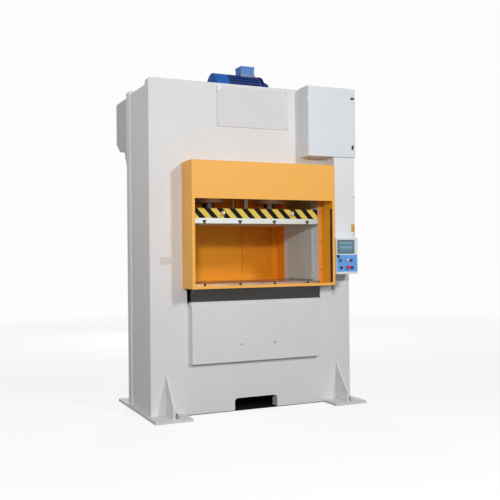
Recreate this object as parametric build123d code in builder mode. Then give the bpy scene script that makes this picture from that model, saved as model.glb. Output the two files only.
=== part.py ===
from build123d import *
import os

os.makedirs("parts", exist_ok=True)

# Hydraulic press with a double-column plate frame, drawn in millimetres.
# X runs to the right, Y to the rear and Z up; the origin is on the floor, under the ram axis.

# Play between pieces
running_gap = 0.3
shaft_play = 0.05
screw_play = 0.1

# Frame of O-shaped plates
frame_width = 2040.0
frame_depth = 720.0
frame_height = 3012.0
plate_thickness = 100.0
floor_clearance = 6.0
window_width = 1352.0
window_sill = 985.0
window_head = 2200.0
window_radius = 40.0
plate_corner = 20.0
notch_width = 436.0
notch_height = 116.0
notch_radius = 32.0
side_inset = 15.0
side_thickness = 30.0
side_top = 2975.0
inner_face = 690.0
inner_thickness = 30.0
crown_floor_thickness = 80.0
crown_top_level = 2875.0
crown_top_thickness = 20.0

# Feet
foot_inner = 715.0
foot_outer = 1055.0
foot_length = 1200.0
foot_thickness = 25.0
anchor_x = 960.0
anchor_y = 470.0
anchor_diameter = 26.0
gusset_x = 872.0
gusset_thickness = 20.0
gusset_height = 380.0
gusset_reach = 200.0
gusset_nose = 120.0
gusset_hole_diameter = 22.0
gusset_hole_reach = 137.0
gusset_hole_height = 130.0
leveller_offset = 36.0
leveller_reach = 165.0
leveller_diameter = 24.0
leveller_height = 68.0
leveller_nut = 36.0
leveller_nut_height = 19.0

# Bed
bed_plate_thickness = 35.0
bed_flange_thickness = 25.0
bed_front_reach = 55.0
bed_web_thickness = 40.0
bed_web_spacing = 270.0
bed_web_count = 5
bolster_width = 1316.0
bolster_thickness = 158.0
bolster_front_reach = 60.0
bolster_rear_recess = 20.0
bolster_edge = 3.0
slot_near = 175.0
slot_far = 525.0
slot_neck = 22.0
slot_head = 37.0
slot_head_height = 16.0
slot_depth = 30.0
cover_width = 1300.0
cover_bottom = 462.0
cover_depth = 60.0
cover_sheet = 4.0
cover_bolt_x = 170.0
cover_bolt_z = 619.0
cover_bolt_diameter = 12.0
cover_bolt_grip = 30.0

# Ram
ram_width = 1280.0
ram_rail_gap = 20.0
ram_front_reach = 60.0
ram_rear_recess = 60.0
platen_bottom = 1724.0
platen_thickness = 48.0
ram_body_thickness = 89.0
ram_edge = 3.0
stroke = 400.0
shoe_length = 100.0
shoe_inset = 75.0
rail_bottom = 1190.0
rail_top_gap = 10.0
rail_end_gap = 5.0
eyebolt_x = 350.0
eyebolt_z = 1820.0
eyebolt_ring = 21.0
eyebolt_wire = 6.0
eyebolt_collar_diameter = 30.0
eyebolt_collar = 8.0
eyebolt_thread_diameter = 12.0
eyebolt_thread = 22.0

# Cylinders
cylinder_x = 325.0
cylinder_bore = 250.0
cylinder_outer = 330.0
cylinder_end = 60.0
flange_diameter = 430.0
flange_thickness = 60.0
flange_screw_circle = 380.0
flange_screw_count = 8
flange_screw_diameter = 24.0
flange_screw_head = 36.0
flange_screw_head_height = 15.0
flange_screw_depth = 40.0
gland_thickness = 22.0
gland_bottom = 1930.0
gland_edge = 4.0
rod_diameter = 115.0
rod_spigot_diameter = 90.0
rod_spigot = 40.0
piston_height = 70.0
piston_margin = 8.0
piston_groove = 12.0
piston_groove_depth = 6.0

# Stroke bars that carry the cams of the limit switches
scale_x = 71.0
scale_width = 37.0
scale_thickness = 20.0
scale_rod_x = -65.0
scale_rod_diameter = 20.0
scale_length = 900.0
scale_play = 2.0

# Guards
guard_half_width = 716.0
guard_bottom = 1143.0
guard_top = 2270.0
guard_sheet = 4.0
guard_flange = 36.0
hood_depth = 256.0
hood_corner = 6.0
hood_header_bottom = 1935.0
hood_side_lip = 28.0
hood_bottom_lip = 26.0
hood_bolster_gap = 2.0
curtain_width = 24.0
curtain_depth = 30.0
curtain_inset = 30.0
curtain_set_back = 13.0
curtain_height = 715.0
curtain_window = 14.0
curtain_window_depth = 2.0
curtain_window_margin = 30.0
plug_diameter = 18.0
plug_length = 43.0
rear_guard_depth = 250.0
rear_opening_inset = 76.0
rear_opening_bottom = 1230.0
rear_opening_top = 2170.0
rear_door_overlap = 30.0
rear_door_split = 295.0
rear_door_meeting_gap = 1.0
rear_door_depth = 15.0
rear_door_sheet = 3.0
rear_hinge_offset = 8.0
rear_knuckle_radius = 7.0
rear_hinge_pin_radius = 4.0
rear_knuckle_length = 40.0
rear_hinge_leaf = 27.0
rear_hinge_inset = 150.0
latch_x_offset = 40.0
latch_z = 1865.0
latch_spindle_radius = 8.0
latch_handle_length = 110.0
latch_cam_length = 90.0

# Oil tank
tank_depth = 370.0
tank_bottom = 2465.0
tank_top = 2955.0
tank_slope_depth = 130.0
tank_slope_height = 92.0
tank_sheet = 8.0
tank_corner = 25.0
brace_thickness = 12.0
brace_reach = 75.0
brace_nose = 25.0
brace_height = 165.0
filler_x = -600.0
filler_y = 600.0
filler_bore = 60.0
filler_wall = 10.0
filler_height = 25.0
filler_cap_height = 18.0
filler_plug = 12.0
filler_grip_width = 14.0
filler_grip_height = 14.0

# Electrical cabinet
cabinet_edge_inset = 25.0
cabinet_width = 515.0
cabinet_bottom = 2363.0
cabinet_height = 660.0
cabinet_depth = 184.0
cabinet_door_depth = 20.0
cabinet_sheet = 2.0
cabinet_flange = 15.0
cabinet_door_sheet = 2.0
cabinet_hinge_inset = 90.0
hinge_offset = 4.0
hinge_knuckle_radius = 3.2
hinge_pin_radius = 1.6
hinge_knuckle_length = 28.0
hinge_leaf = 3.0
hinge_leaf_length = 12.0
cabinet_lock_inset = 34.0
cabinet_lock_upper_z = 2930.0
cabinet_lock_lower_z = 2459.0
lock_disc_radius = 13.0
lock_spindle_radius = 8.0
lock_handle_length = 44.0
lock_handle_width = 11.0
lock_handle_height = 14.0
lock_cam_length = 24.0
lock_cam_width = 12.0
lock_cam_thickness = 3.0

# Equipment inside the cabinet
panel_margin = 20.0
panel_thickness = 3.0
panel_stand_off = 13.0
panel_stand_off_radius = 8.0
contactor_width = 45.0
contactor_height = 80.0
contactor_depth = 88.0
contactor_count = 6
contactor_pitch = 62.0
terminal_height = 50.0
terminal_depth = 45.0
duct_height = 40.0
duct_depth = 60.0
drive_width = 170.0
drive_height = 230.0
drive_depth = 86.0

# Wiring column
column_guard_gap = 46.0
column_edge_inset = 30.0
column_depth = 165.0
column_bottom = 1250.0
column_top = 2362.0
column_sheet = 2.0
column_flange = 20.0
column_screw_inset = 10.0
column_screw_low = 1623.0
column_screw_high = 1983.0

# Control box
box_guard_gap = 4.0
box_width = 232.0
box_bottom = 1246.0
box_height = 343.0
box_depth = 103.0
box_door_depth = 12.0
box_sheet = 2.0
box_flange = 6.0
box_hinge_inset = 50.0
knob_inset = 13.5
knob_z = 1416.0
knob_radius = 14.0
knob_height = 16.0
knob_spindle_radius = 4.5
knob_cam_length = 10.0
knob_cam_width = 8.0
bezel_inset = 10.0
bezel_width = 184.0
bezel_bottom = 1439.0
bezel_top = 1569.0
bezel_depth = 6.0
bezel_screen_margin = 20.0
bezel_screen_recess = 1.5
panel_housing_margin = 12.0
panel_housing_depth = 40.0
plate_inset = 2.0
plate_width = 223.0
plate_bottom = 1269.0
plate_top = 1426.0
operator_plate_thickness = 2.0

# Operators, as x from the left edge of the control box and z of each axis
start_spot = (41.0, 1375.0)
selector_spot = (107.0, 1378.0)
stop_spot = (160.0, 1374.0)
inch_spot = (48.0, 1306.0)
emergency_spot = (120.0, 1311.0)
reset_spot = (168.0, 1307.0)
operator_hole_radius = 11.2
operator_ring_radius = 14.5
operator_ring_height = 8.0
operator_barrel_radius = 11.0
operator_barrel_length = 24.0
operator_bore_radius = 9.5
operator_floor = 4.0
cap_stand_out = 2.5
button_travel = 4.0
emergency_travel = 5.0
mushroom_radius = 19.0
mushroom_height = 15.0
mushroom_edge = 6.0
selector_radius = 12.5
selector_skirt = 5.0
selector_handle_length = 22.0
selector_handle_width = 8.0
selector_handle_height = 12.0

# Sign plate and its screws
sign_left = -369.0
sign_right = 355.0
sign_bottom = 2617.0
sign_top = 2985.0
sign_depth = 10.0
sign_sheet = 2.0
sign_corner = 6.0
sign_screw_inset = 18.0
panel_screw_diameter = 8.0
panel_screw_head_radius = 7.0
panel_screw_head_height = 5.0
panel_screw_socket = 2.6
panel_screw_length = 20.0
hood_screw_count = 4
hood_screw_pitch = 280.0

# Power unit on the crown
motor_axis_z = 3035.0
motor_radius = 150.0
motor_left = -155.0
motor_right = 205.0
motor_shell = 135.0
motor_bore = 105.0
motor_end = 15.0
motor_fin_count = 28
motor_fin_thickness = 5.0
motor_fin_margin = 22.0
motor_foot_half_width = 127.0
motor_foot_left = -105.0
motor_foot_right = 155.0
motor_foot_thickness = 15.0
motor_web_half_width = 85.0
fan_cover_length = 120.0
fan_cover_sheet = 3.0
fan_slot_count = 12
fan_slot_width = 14.0
fan_slot_inner = 40.0
fan_slot_outer = 125.0
terminal_box_left = 0.0
terminal_box_width = 150.0
terminal_box_depth = 150.0
terminal_box_height = 80.0
terminal_box_lid = 16.0
terminal_box_lip = 4.0
terminal_pad = 2.0
shaft_radius = 19.0
rotor_core_radius = 75.0
rotor_core_margin = 35.0
fan_radius = 118.0
fan_thickness = 22.0
fan_gap = 55.0
coupling_radius = 45.0
coupling_length = 55.0
bell_length = 90.0
bell_flange = 16.0
bell_neck_radius = 95.0
bell_bore_radius = 60.0
pump_length = 140.0
pump_half_width = 55.0
pump_below = 90.0
pump_above = 50.0
pump_flange = 18.0
pump_flange_radius = 60.0

# Valve manifold and pipes
manifold_left = -700.0
manifold_right = -500.0
manifold_half_depth = 70.0
manifold_height = 75.0
valve_count = 3
valve_pitch = 64.0
valve_width = 46.0
valve_length = 126.0
valve_height = 42.0
pipe_radius = 10.0
pipe_wall = 2.0
pipe_bend = 24.0
pipe_rise = 40.0
cylinder_port_y = 120.0
left_pipe_x = -560.0
right_pipe_x = -640.0
right_pipe_y = -185.0
pump_port_reach = 70.0
pump_port_drop = 105.0
pump_port_half = 26.0
pump_port_proud = 12.0
pressure_pipe_y = 175.0
pressure_pipe_x = -600.0
suction_radius = 19.0
suction_bend = 45.0
suction_reach = 80.0
suction_y = 545.0
return_x = -790.0
return_rise = 110.0

# Sizes worked out from those above
half_width = frame_width / 2
front_face = -frame_depth / 2
rear_face = frame_depth / 2
plate_gap = frame_depth - 2 * plate_thickness
side_outer = half_width - side_inset
side_inner = side_outer - side_thickness
bed_top = window_sill + bed_plate_thickness
bed_rear = rear_face - bolster_rear_recess
bolster_front = front_face - bolster_front_reach
bolster_top = bed_top + bolster_thickness
bolster_half = bolster_width / 2
slot_places = (-slot_far, -slot_near, slot_near, slot_far)
platen_top = platen_bottom + platen_thickness
ram_top = platen_top + ram_body_thickness
ram_front = front_face - ram_front_reach
ram_rear = rear_face - ram_rear_recess
ram_half = ram_width / 2
ram_centre_y = (ram_front + ram_rear) / 2
ram_depth = ram_rear - ram_front
rail_face = ram_half + ram_rail_gap
shoe_y = plate_gap / 2 - shoe_inset
gland_top = gland_bottom + gland_thickness
piston_bottom = gland_top + stroke + piston_margin
piston_top = piston_bottom + piston_height
bore_end = piston_top + piston_margin
barrel_top = bore_end + cylinder_end
crown_floor_top = window_head + crown_floor_thickness
crown_top_bottom = crown_top_level - crown_top_thickness
cabinet_right = half_width - cabinet_edge_inset
cabinet_left = cabinet_right - cabinet_width
cabinet_top = cabinet_bottom + cabinet_height
cabinet_front = front_face - cabinet_depth
cabinet_joint = cabinet_front + cabinet_door_depth
column_left = guard_half_width + column_guard_gap
column_right = half_width - column_edge_inset
column_front = front_face - column_depth
cover_front = column_front - column_sheet
box_left = guard_half_width + box_guard_gap
box_right = box_left + box_width
box_top = box_bottom + box_height
box_front = cover_front - box_depth
box_joint = box_front + box_door_depth
operator_face = box_front - operator_plate_thickness
bezel_left = box_left + bezel_inset
bezel_right = bezel_left + bezel_width
plate_left = box_left + plate_inset
plate_right = plate_left + plate_width
curtain_inner = guard_half_width - curtain_inset
rear_opening_half_width = guard_half_width - rear_opening_inset
guard_height = guard_top - guard_bottom
guard_centre_z = (guard_top + guard_bottom) / 2
hood_front = front_face - hood_depth
rear_guard_back = rear_face + rear_guard_depth
tank_back = rear_face + tank_depth
motor_fan_end = motor_left - fan_cover_length
bell_right = motor_right + bell_length
pump_right = bell_right + pump_length
pump_port_x = bell_right + pump_port_reach
pump_port_z = motor_axis_z - pump_port_drop
suction_x = pump_right + suction_reach
pipe_level = crown_top_level + pipe_rise
return_level = pipe_level + return_rise
manifold_top = crown_top_level + manifold_height


def front_plane(y):
    """Plane at depth y that faces the front, with local x to the right and local y up."""
    return Plane.XZ.offset(-y)


def side_plane(x):
    """Plane at x that faces right, with local x to the rear and local y up."""
    return Plane.YZ.offset(x)


def level_plane(z):
    """Level plane at height z."""
    return Plane.XY.offset(z)


def block(x_limits, y_limits, z_limits, mode=Mode.ADD):
    """Rectangular block between three pairs of limits."""
    limits = (x_limits, y_limits, z_limits)
    centre = tuple((low + high) / 2 for low, high in limits)
    size = [high - low for low, high in limits]
    with Locations(centre):
        Box(*size, mode=mode)


def post(plane, places, radius, length, mode=Mode.ADD):
    """Round posts, or holes, that start on a plane and run along its normal."""
    with BuildSketch(plane) as section:
        with Locations(*places):
            Circle(radius)
    extrude(section.sketch, amount=length, mode=mode)


def socket_screws(plane, places):
    """Panel screws whose heads stand on a plane and whose shanks run behind it."""
    with BuildSketch(plane) as head:
        with Locations(*places):
            Circle(panel_screw_head_radius)
            RegularPolygon(panel_screw_socket, 6, mode=Mode.SUBTRACT)
    extrude(head.sketch, amount=panel_screw_head_height)
    post(plane, places, panel_screw_diameter / 2, -panel_screw_length)


def screw_holes(plane, places):
    """Holes for panel screws, cut from a plane to the rear of it."""
    radius = panel_screw_diameter / 2 + screw_play
    post(plane, places, radius, -panel_screw_length - running_gap, mode=Mode.SUBTRACT)


def frame_plate_outline(y):
    """Outline of an O-shaped frame plate with its window and the notch over the floor."""
    with BuildSketch(front_plane(y)) as outline:
        Polygon(
            (-half_width, foot_thickness),
            (-foot_inner, foot_thickness),
            (-foot_inner, floor_clearance),
            (foot_inner, floor_clearance),
            (foot_inner, foot_thickness),
            (half_width, foot_thickness),
            (half_width, frame_height),
            (-half_width, frame_height),
        )
        fillet(outline.vertices().group_by(Axis.Y)[-1], plate_corner)
        with Locations((0, (window_sill + window_head) / 2)):
            RectangleRounded(
                window_width, window_head - window_sill, window_radius, mode=Mode.SUBTRACT
            )
        RectangleRounded(notch_width, 2 * notch_height, notch_radius, mode=Mode.SUBTRACT)
    return outline.sketch


def cut_slots(surface_z, side):
    """T-slots in a front-facing sketch; side is 1 for slots open upwards and -1 downwards."""
    for x in slot_places:
        with Locations((x, surface_z - side * slot_depth / 2)):
            Rectangle(slot_neck, slot_depth, mode=Mode.SUBTRACT)
        with Locations((x, surface_z - side * (slot_depth - slot_head_height / 2))):
            Rectangle(slot_head, slot_head_height, mode=Mode.SUBTRACT)


def tray(x_limits, y_limits, z_limits, sheet, open_side):
    """Folded tray with closed front or rear; open_side is 1 for open to the rear, -1 to the front."""
    block(x_limits, y_limits, z_limits)
    inner_y = [y_limits[0] + sheet, y_limits[1]]
    if open_side < 0:
        inner_y = [y_limits[0], y_limits[1] - sheet]
    inner_x = [x_limits[0] + sheet, x_limits[1] - sheet]
    inner_z = [z_limits[0] + sheet, z_limits[1] - sheet]
    block(inner_x, inner_y, inner_z, mode=Mode.SUBTRACT)


def pipe(route, radius, bend):
    """Round pipe along straight runs joined by bends of one radius."""
    with BuildLine() as path:
        FilletPolyline(*route, radius=bend)
    with BuildSketch(Plane(origin=path.line @ 0, z_dir=path.line % 0)) as section:
        Circle(radius)
        Circle(radius - pipe_wall, mode=Mode.SUBTRACT)
    sweep(section.sketch, path=path.line)


# Places of the panel screws
sign_screw_x = (sign_left + sign_screw_inset, sign_right - sign_screw_inset)
sign_screw_z = (sign_bottom + sign_screw_inset, sign_top - sign_screw_inset)
sign_screw_places = [(x, z) for x in sign_screw_x for z in sign_screw_z]
hood_screw_x = guard_half_width - guard_flange / 2
hood_screw_places = [
    (side * hood_screw_x, guard_centre_z + (row - (hood_screw_count - 1) / 2) * hood_screw_pitch)
    for side in (-1, 1)
    for row in range(hood_screw_count)
]
column_screw_x = column_right - column_screw_inset
column_screw_places = [(column_screw_x, column_screw_low), (column_screw_x, column_screw_high)]
sign_face = front_face - sign_depth
hood_flange_face = front_face - guard_sheet
cover_bolt_places = [(-cover_bolt_x, cover_bolt_z), (cover_bolt_x, cover_bolt_z)]
cover_face = front_face - cover_depth

# Front plate of the frame
with BuildPart() as front_plate:
    extrude(frame_plate_outline(front_face + plate_thickness), amount=plate_thickness)
    screw_holes(front_plane(sign_face), sign_screw_places)
    screw_holes(front_plane(hood_flange_face), hood_screw_places)
    cover_hole = cover_bolt_diameter / 2 + screw_play
    cover_hole_length = cover_bolt_grip + running_gap
    post(front_plane(front_face), cover_bolt_places, cover_hole, -cover_hole_length, Mode.SUBTRACT)
front_plate.part.label = "front_plate"
export_step(front_plate.part, "parts/front_plate.step")

# Rear plate of the frame
with BuildPart() as rear_plate:
    extrude(frame_plate_outline(rear_face), amount=plate_thickness)
rear_plate.part.label = "rear_plate"
export_step(rear_plate.part, "parts/rear_plate.step")

# Side walls between the two frame plates
with BuildPart() as side_plates:
    with BuildSketch(level_plane(foot_thickness)):
        side_centre = (side_inner + side_outer) / 2
        with Locations((-side_centre, 0), (side_centre, 0)):
            Rectangle(side_thickness, plate_gap)
    extrude(amount=side_top - foot_thickness)
side_plates.part.label = "side_plates"
export_step(side_plates.part, "parts/side_plates.step")

# Inner walls that carry the guide rails
with BuildPart() as inner_plates:
    with BuildSketch(level_plane(foot_thickness)):
        inner_centre = inner_face + inner_thickness / 2
        with Locations((-inner_centre, 0), (inner_centre, 0)):
            Rectangle(inner_thickness, plate_gap)
    extrude(amount=window_head - foot_thickness)
inner_plates.part.label = "inner_plates"
export_step(inner_plates.part, "parts/inner_plates.step")

# Crown floor that takes the force of the cylinders
with BuildPart() as crown_floor:
    with BuildSketch(level_plane(window_head)):
        Rectangle(2 * side_inner, plate_gap)
        with Locations((-cylinder_x, 0), (cylinder_x, 0)):
            Circle(cylinder_outer / 2 + running_gap, mode=Mode.SUBTRACT)
        with Locations((scale_x, 0)):
            Rectangle(scale_width + 2 * scale_play, scale_thickness + 2 * scale_play, mode=Mode.SUBTRACT)
        with Locations((scale_rod_x, 0)):
            Circle(scale_rod_diameter / 2 + scale_play, mode=Mode.SUBTRACT)
    extrude(amount=crown_floor_thickness)
    with BuildSketch(level_plane(window_head)):
        with Locations((-cylinder_x, 0), (cylinder_x, 0)):
            with PolarLocations(flange_screw_circle / 2, flange_screw_count):
                Circle(flange_screw_diameter / 2 + screw_play)
    extrude(amount=flange_screw_depth + running_gap, mode=Mode.SUBTRACT)
crown_floor.part.label = "crown_floor"
export_step(crown_floor.part, "parts/crown_floor.step")

# Crown top that carries the power unit, with holes for the two cylinder pipes
with BuildPart() as crown_top:
    with BuildSketch(level_plane(crown_top_bottom)):
        Rectangle(2 * side_inner, plate_gap)
        with Locations((-cylinder_x, -cylinder_port_y), (cylinder_x, -cylinder_port_y)):
            Circle(pipe_radius + running_gap, mode=Mode.SUBTRACT)
    extrude(amount=crown_top_thickness)
crown_top.part.label = "crown_top"
export_step(crown_top.part, "parts/crown_top.step")

# Bed weldment with its top plate, webs and bottom flange
with BuildPart() as bed_beam:
    with BuildSketch(level_plane(window_sill)):
        with Locations((0, front_face - bed_front_reach / 2)):
            Rectangle(bolster_width, bed_front_reach)
        with Locations((0, (front_face + bed_rear) / 2)):
            Rectangle(window_width - 2 * window_radius, bed_rear - front_face)
        Rectangle(2 * inner_face, plate_gap)
    extrude(amount=bed_plate_thickness)
    flange_top = notch_height + bed_flange_thickness
    block((-inner_face, inner_face), (-plate_gap / 2, plate_gap / 2), (notch_height, flange_top))
    with BuildSketch(level_plane(flange_top)):
        with GridLocations(bed_web_spacing, 1, bed_web_count, 1):
            Rectangle(bed_web_thickness, plate_gap)
    extrude(amount=window_sill - flange_top)
bed_beam.part.label = "bed_beam"
export_step(bed_beam.part, "parts/bed_beam.step")


def draw_gusset():
    """Side outline of the foot gusset in front of the frame."""
    Polygon(
        (front_face, foot_thickness),
        (front_face - gusset_reach, foot_thickness),
        (front_face - gusset_reach, gusset_nose),
        (front_face, gusset_height),
    )
    with Locations((front_face - gusset_hole_reach, gusset_hole_height)):
        Circle(gusset_hole_diameter / 2, mode=Mode.SUBTRACT)


def leveller_places(side):
    """Places of the two levelling screws of the foot on one side."""
    x = side * gusset_x + leveller_offset
    y = front_face - leveller_reach
    return [(x, y), (x, -y)]


def build_foot(side):
    """Foot plate and its two gussets, with free anchor holes and tapped levelling holes."""
    with BuildSketch(level_plane(0)) as base:
        with Locations((side * (foot_inner + foot_outer) / 2, 0)):
            Rectangle(foot_outer - foot_inner, foot_length)
        with Locations((side * anchor_x, -anchor_y), (side * anchor_x, anchor_y)):
            Circle(anchor_diameter / 2, mode=Mode.SUBTRACT)
        with Locations(*leveller_places(side)):
            Circle(leveller_diameter / 2 + screw_play, mode=Mode.SUBTRACT)
    extrude(base.sketch, amount=foot_thickness)
    with BuildSketch(side_plane(side * gusset_x)) as gussets:
        draw_gusset()
        mirror(about=Plane.YZ)
    extrude(gussets.sketch, amount=gusset_thickness / 2, both=True)


with BuildPart() as left_foot:
    build_foot(-1)
left_foot.part.label = "left_foot"
export_step(left_foot.part, "parts/left_foot.step")

with BuildPart() as right_foot:
    build_foot(1)
right_foot.part.label = "right_foot"
export_step(right_foot.part, "parts/right_foot.step")

# Levelling screws with their lock nuts
with BuildPart() as levelling_screws:
    for foot_side in (-1, 1):
        places = leveller_places(foot_side)
        post(level_plane(0), places, leveller_diameter / 2, leveller_height)
        with BuildSketch(level_plane(foot_thickness)):
            with Locations(*places):
                RegularPolygon(leveller_nut / 2, 6, major_radius=False)
        extrude(amount=leveller_nut_height)
    chamfer(levelling_screws.faces().sort_by(Axis.Z)[-4:].edges(), 3)
levelling_screws.part.label = "levelling_screws"
export_step(levelling_screws.part, "parts/levelling_screws.step")

# Bolster plate with its T-slots
with BuildPart() as bolster_plate:
    with BuildSketch(front_plane(bed_rear)):
        with Locations((0, (bed_top + bolster_top) / 2)):
            Rectangle(bolster_width, bolster_thickness)
        cut_slots(bolster_top, 1)
    extrude(amount=bed_rear - bolster_front)
    outer_edges = bolster_plate.edges().filter_by(Axis.Z).group_by(Axis.Y)
    chamfer([edge for edge in outer_edges[0] if edge.length > slot_depth], bolster_edge)
bolster_plate.part.label = "bolster_plate"
export_step(bolster_plate.part, "parts/bolster_plate.step")

# Sheet cover on the front of the bed
with BuildPart() as bed_cover:
    cover_half = cover_width / 2
    tray(
        (-cover_half, cover_half),
        (cover_face, front_face),
        (cover_bottom, window_sill),
        cover_sheet,
        1,
    )
    post(front_plane(front_face), cover_bolt_places, cover_hole, cover_depth, Mode.SUBTRACT)
bed_cover.part.label = "bed_cover"
export_step(bed_cover.part, "parts/bed_cover.step")

# Bolts that hold the bed cover
with BuildPart() as cover_bolts:
    with BuildSketch(front_plane(cover_face)):
        with Locations(*cover_bolt_places):
            RegularPolygon(0.9 * cover_bolt_diameter, 6)
    extrude(amount=0.6 * cover_bolt_diameter)
    bolt_length = cover_depth + cover_bolt_grip
    post(front_plane(cover_face), cover_bolt_places, cover_bolt_diameter / 2, -bolt_length)
cover_bolts.part.label = "cover_bolts"
export_step(cover_bolts.part, "parts/cover_bolts.step")

# Blank sign plate, a shallow folded tray
with BuildPart() as sign_plate:
    sign_size = (sign_right - sign_left, sign_top - sign_bottom)
    sign_centre = ((sign_left + sign_right) / 2, (sign_bottom + sign_top) / 2)
    with BuildSketch(front_plane(front_face)):
        with Locations(sign_centre):
            RectangleRounded(*sign_size, sign_corner)
    extrude(amount=sign_depth)
    with BuildSketch(front_plane(front_face)):
        with Locations(sign_centre):
            Rectangle(sign_size[0] - 2 * sign_corner, sign_size[1] - 2 * sign_corner)
    extrude(amount=sign_depth - sign_sheet, mode=Mode.SUBTRACT)
    screw_holes(front_plane(sign_face), sign_screw_places)
sign_plate.part.label = "sign_plate"
export_step(sign_plate.part, "parts/sign_plate.step")

# Identical screws of the sign plate, the hood and the column cover
with BuildPart() as panel_screws:
    socket_screws(front_plane(sign_face), sign_screw_places)
    socket_screws(front_plane(hood_flange_face), hood_screw_places)
    socket_screws(front_plane(cover_front), column_screw_places)
panel_screws.part.label = "panel_screws"
export_step(panel_screws.part, "parts/panel_screws.step")

# Ram body
eyebolt_places = [(-eyebolt_x, eyebolt_z), (eyebolt_x, eyebolt_z)]
with BuildPart() as ram_body:
    block((-ram_half, ram_half), (ram_front, ram_rear), (platen_top, ram_top))
    chamfer(ram_body.edges().filter_by(Axis.Z), ram_edge)
    spigot_places = [(-cylinder_x, 0), (cylinder_x, 0)]
    spigot_radius = rod_spigot_diameter / 2 + screw_play
    spigot_depth = rod_spigot + running_gap
    post(level_plane(ram_top), spigot_places, spigot_radius, -spigot_depth, Mode.SUBTRACT)
    thread_radius = eyebolt_thread_diameter / 2 + screw_play
    thread_depth = eyebolt_thread + running_gap
    post(front_plane(ram_front), eyebolt_places, thread_radius, -thread_depth, Mode.SUBTRACT)
ram_body.part.label = "ram_body"
export_step(ram_body.part, "parts/ram_body.step")

# Ram platen with T-slots open downwards
with BuildPart() as ram_platen:
    with BuildSketch(front_plane(ram_rear)):
        with Locations((0, (platen_bottom + platen_top) / 2)):
            Rectangle(ram_width, platen_thickness)
        cut_slots(platen_bottom, -1)
    extrude(amount=ram_depth)
ram_platen.part.label = "ram_platen"
export_step(ram_platen.part, "parts/ram_platen.step")

# Guide shoes on the ends of the ram
with BuildPart() as guide_shoes:
    shoe_thickness = rail_face - running_gap - ram_half
    shoe_centre = ram_half + shoe_thickness / 2
    with BuildSketch(level_plane(platen_top)):
        with Locations((-shoe_centre, 0), (shoe_centre, 0)):
            with GridLocations(1, 2 * shoe_y, 1, 2):
                Rectangle(shoe_thickness, shoe_length)
    extrude(amount=ram_body_thickness)
guide_shoes.part.label = "guide_shoes"
export_step(guide_shoes.part, "parts/guide_shoes.step")

# Guide rails on the inner walls
with BuildPart() as guide_rails:
    rail_centre = (rail_face + inner_face) / 2
    with BuildSketch(level_plane(rail_bottom)):
        with Locations((-rail_centre, 0), (rail_centre, 0)):
            Rectangle(inner_face - rail_face, plate_gap - 2 * rail_end_gap)
    extrude(amount=window_head - rail_top_gap - rail_bottom)
guide_rails.part.label = "guide_rails"
export_step(guide_rails.part, "parts/guide_rails.step")


def turned(x, half_section):
    """Round piece about the vertical axis at x, from its half section of radius and height."""
    with BuildSketch(Plane.XZ.shift_origin((x, 0, 0))) as section:
        Polygon(*half_section)
    revolve(section.sketch, axis=Axis((x, 0, 0), (0, 0, 1)))


# Piston rods with their pistons, as seen from the rod axis outwards
rod_radius = rod_diameter / 2
piston_radius = cylinder_bore / 2 - shaft_play
groove_bottom = (piston_bottom + piston_top - piston_groove) / 2
with BuildPart() as piston_rods:
    for rod_x in (-cylinder_x, cylinder_x):
        turned(
            rod_x,
            (
                (0, ram_top - rod_spigot),
                (rod_spigot_diameter / 2, ram_top - rod_spigot),
                (rod_spigot_diameter / 2, ram_top),
                (rod_radius, ram_top),
                (rod_radius, piston_bottom),
                (piston_radius, piston_bottom),
                (piston_radius, groove_bottom),
                (piston_radius - piston_groove_depth, groove_bottom),
                (piston_radius - piston_groove_depth, groove_bottom + piston_groove),
                (piston_radius, groove_bottom + piston_groove),
                (piston_radius, piston_top),
                (0, piston_top),
            ),
        )
piston_rods.part.label = "piston_rods"
export_step(piston_rods.part, "parts/piston_rods.step")

# Eyebolts on the front of the ram
with BuildPart() as ram_eyebolts:
    collar_face = ram_front - eyebolt_collar
    ring_y = collar_face - eyebolt_ring
    post(front_plane(ram_front), eyebolt_places, eyebolt_collar_diameter / 2, eyebolt_collar)
    post(front_plane(ram_front), eyebolt_places, eyebolt_thread_diameter / 2, -eyebolt_thread)
    for eye_x, eye_z in eyebolt_places:
        with BuildSketch(Plane.XY.offset(eye_z)):
            with Locations((eye_x, ring_y - eyebolt_ring)):
                Circle(eyebolt_wire)
        revolve(axis=Axis((eye_x, ring_y, eye_z), (1, 0, 0)))
ram_eyebolts.part.label = "ram_eyebolts"
export_step(ram_eyebolts.part, "parts/ram_eyebolts.step")

# Two upright bars on the ram that carry the limit switch cams
with BuildPart() as stroke_bars:
    with BuildSketch(level_plane(ram_top)):
        with Locations((scale_x, 0)):
            Rectangle(scale_width, scale_thickness)
        with Locations((scale_rod_x, 0)):
            Circle(scale_rod_diameter / 2)
    extrude(amount=scale_length)
stroke_bars.part.label = "stroke_bars"
export_step(stroke_bars.part, "parts/stroke_bars.step")

# Cylinder barrels with a flange under the crown floor
flange_bottom = window_head - flange_thickness
with BuildPart() as cylinder_barrels:
    outer_radius = cylinder_outer / 2
    bore_radius = cylinder_bore / 2
    for barrel_x in (-cylinder_x, cylinder_x):
        turned(
            barrel_x,
            (
                (bore_radius, gland_top),
                (outer_radius, gland_top),
                (outer_radius, flange_bottom),
                (flange_diameter / 2, flange_bottom),
                (flange_diameter / 2, window_head),
                (outer_radius, window_head),
                (outer_radius, barrel_top),
                (0, barrel_top),
                (0, bore_end),
                (bore_radius, bore_end),
            ),
        )
    with BuildSketch(level_plane(flange_bottom)):
        with Locations((-cylinder_x, 0), (cylinder_x, 0)):
            with PolarLocations(flange_screw_circle / 2, flange_screw_count):
                Circle(flange_screw_diameter / 2 + screw_play)
    extrude(amount=flange_thickness, mode=Mode.SUBTRACT)
cylinder_barrels.part.label = "cylinder_barrels"
export_step(cylinder_barrels.part, "parts/cylinder_barrels.step")

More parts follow.
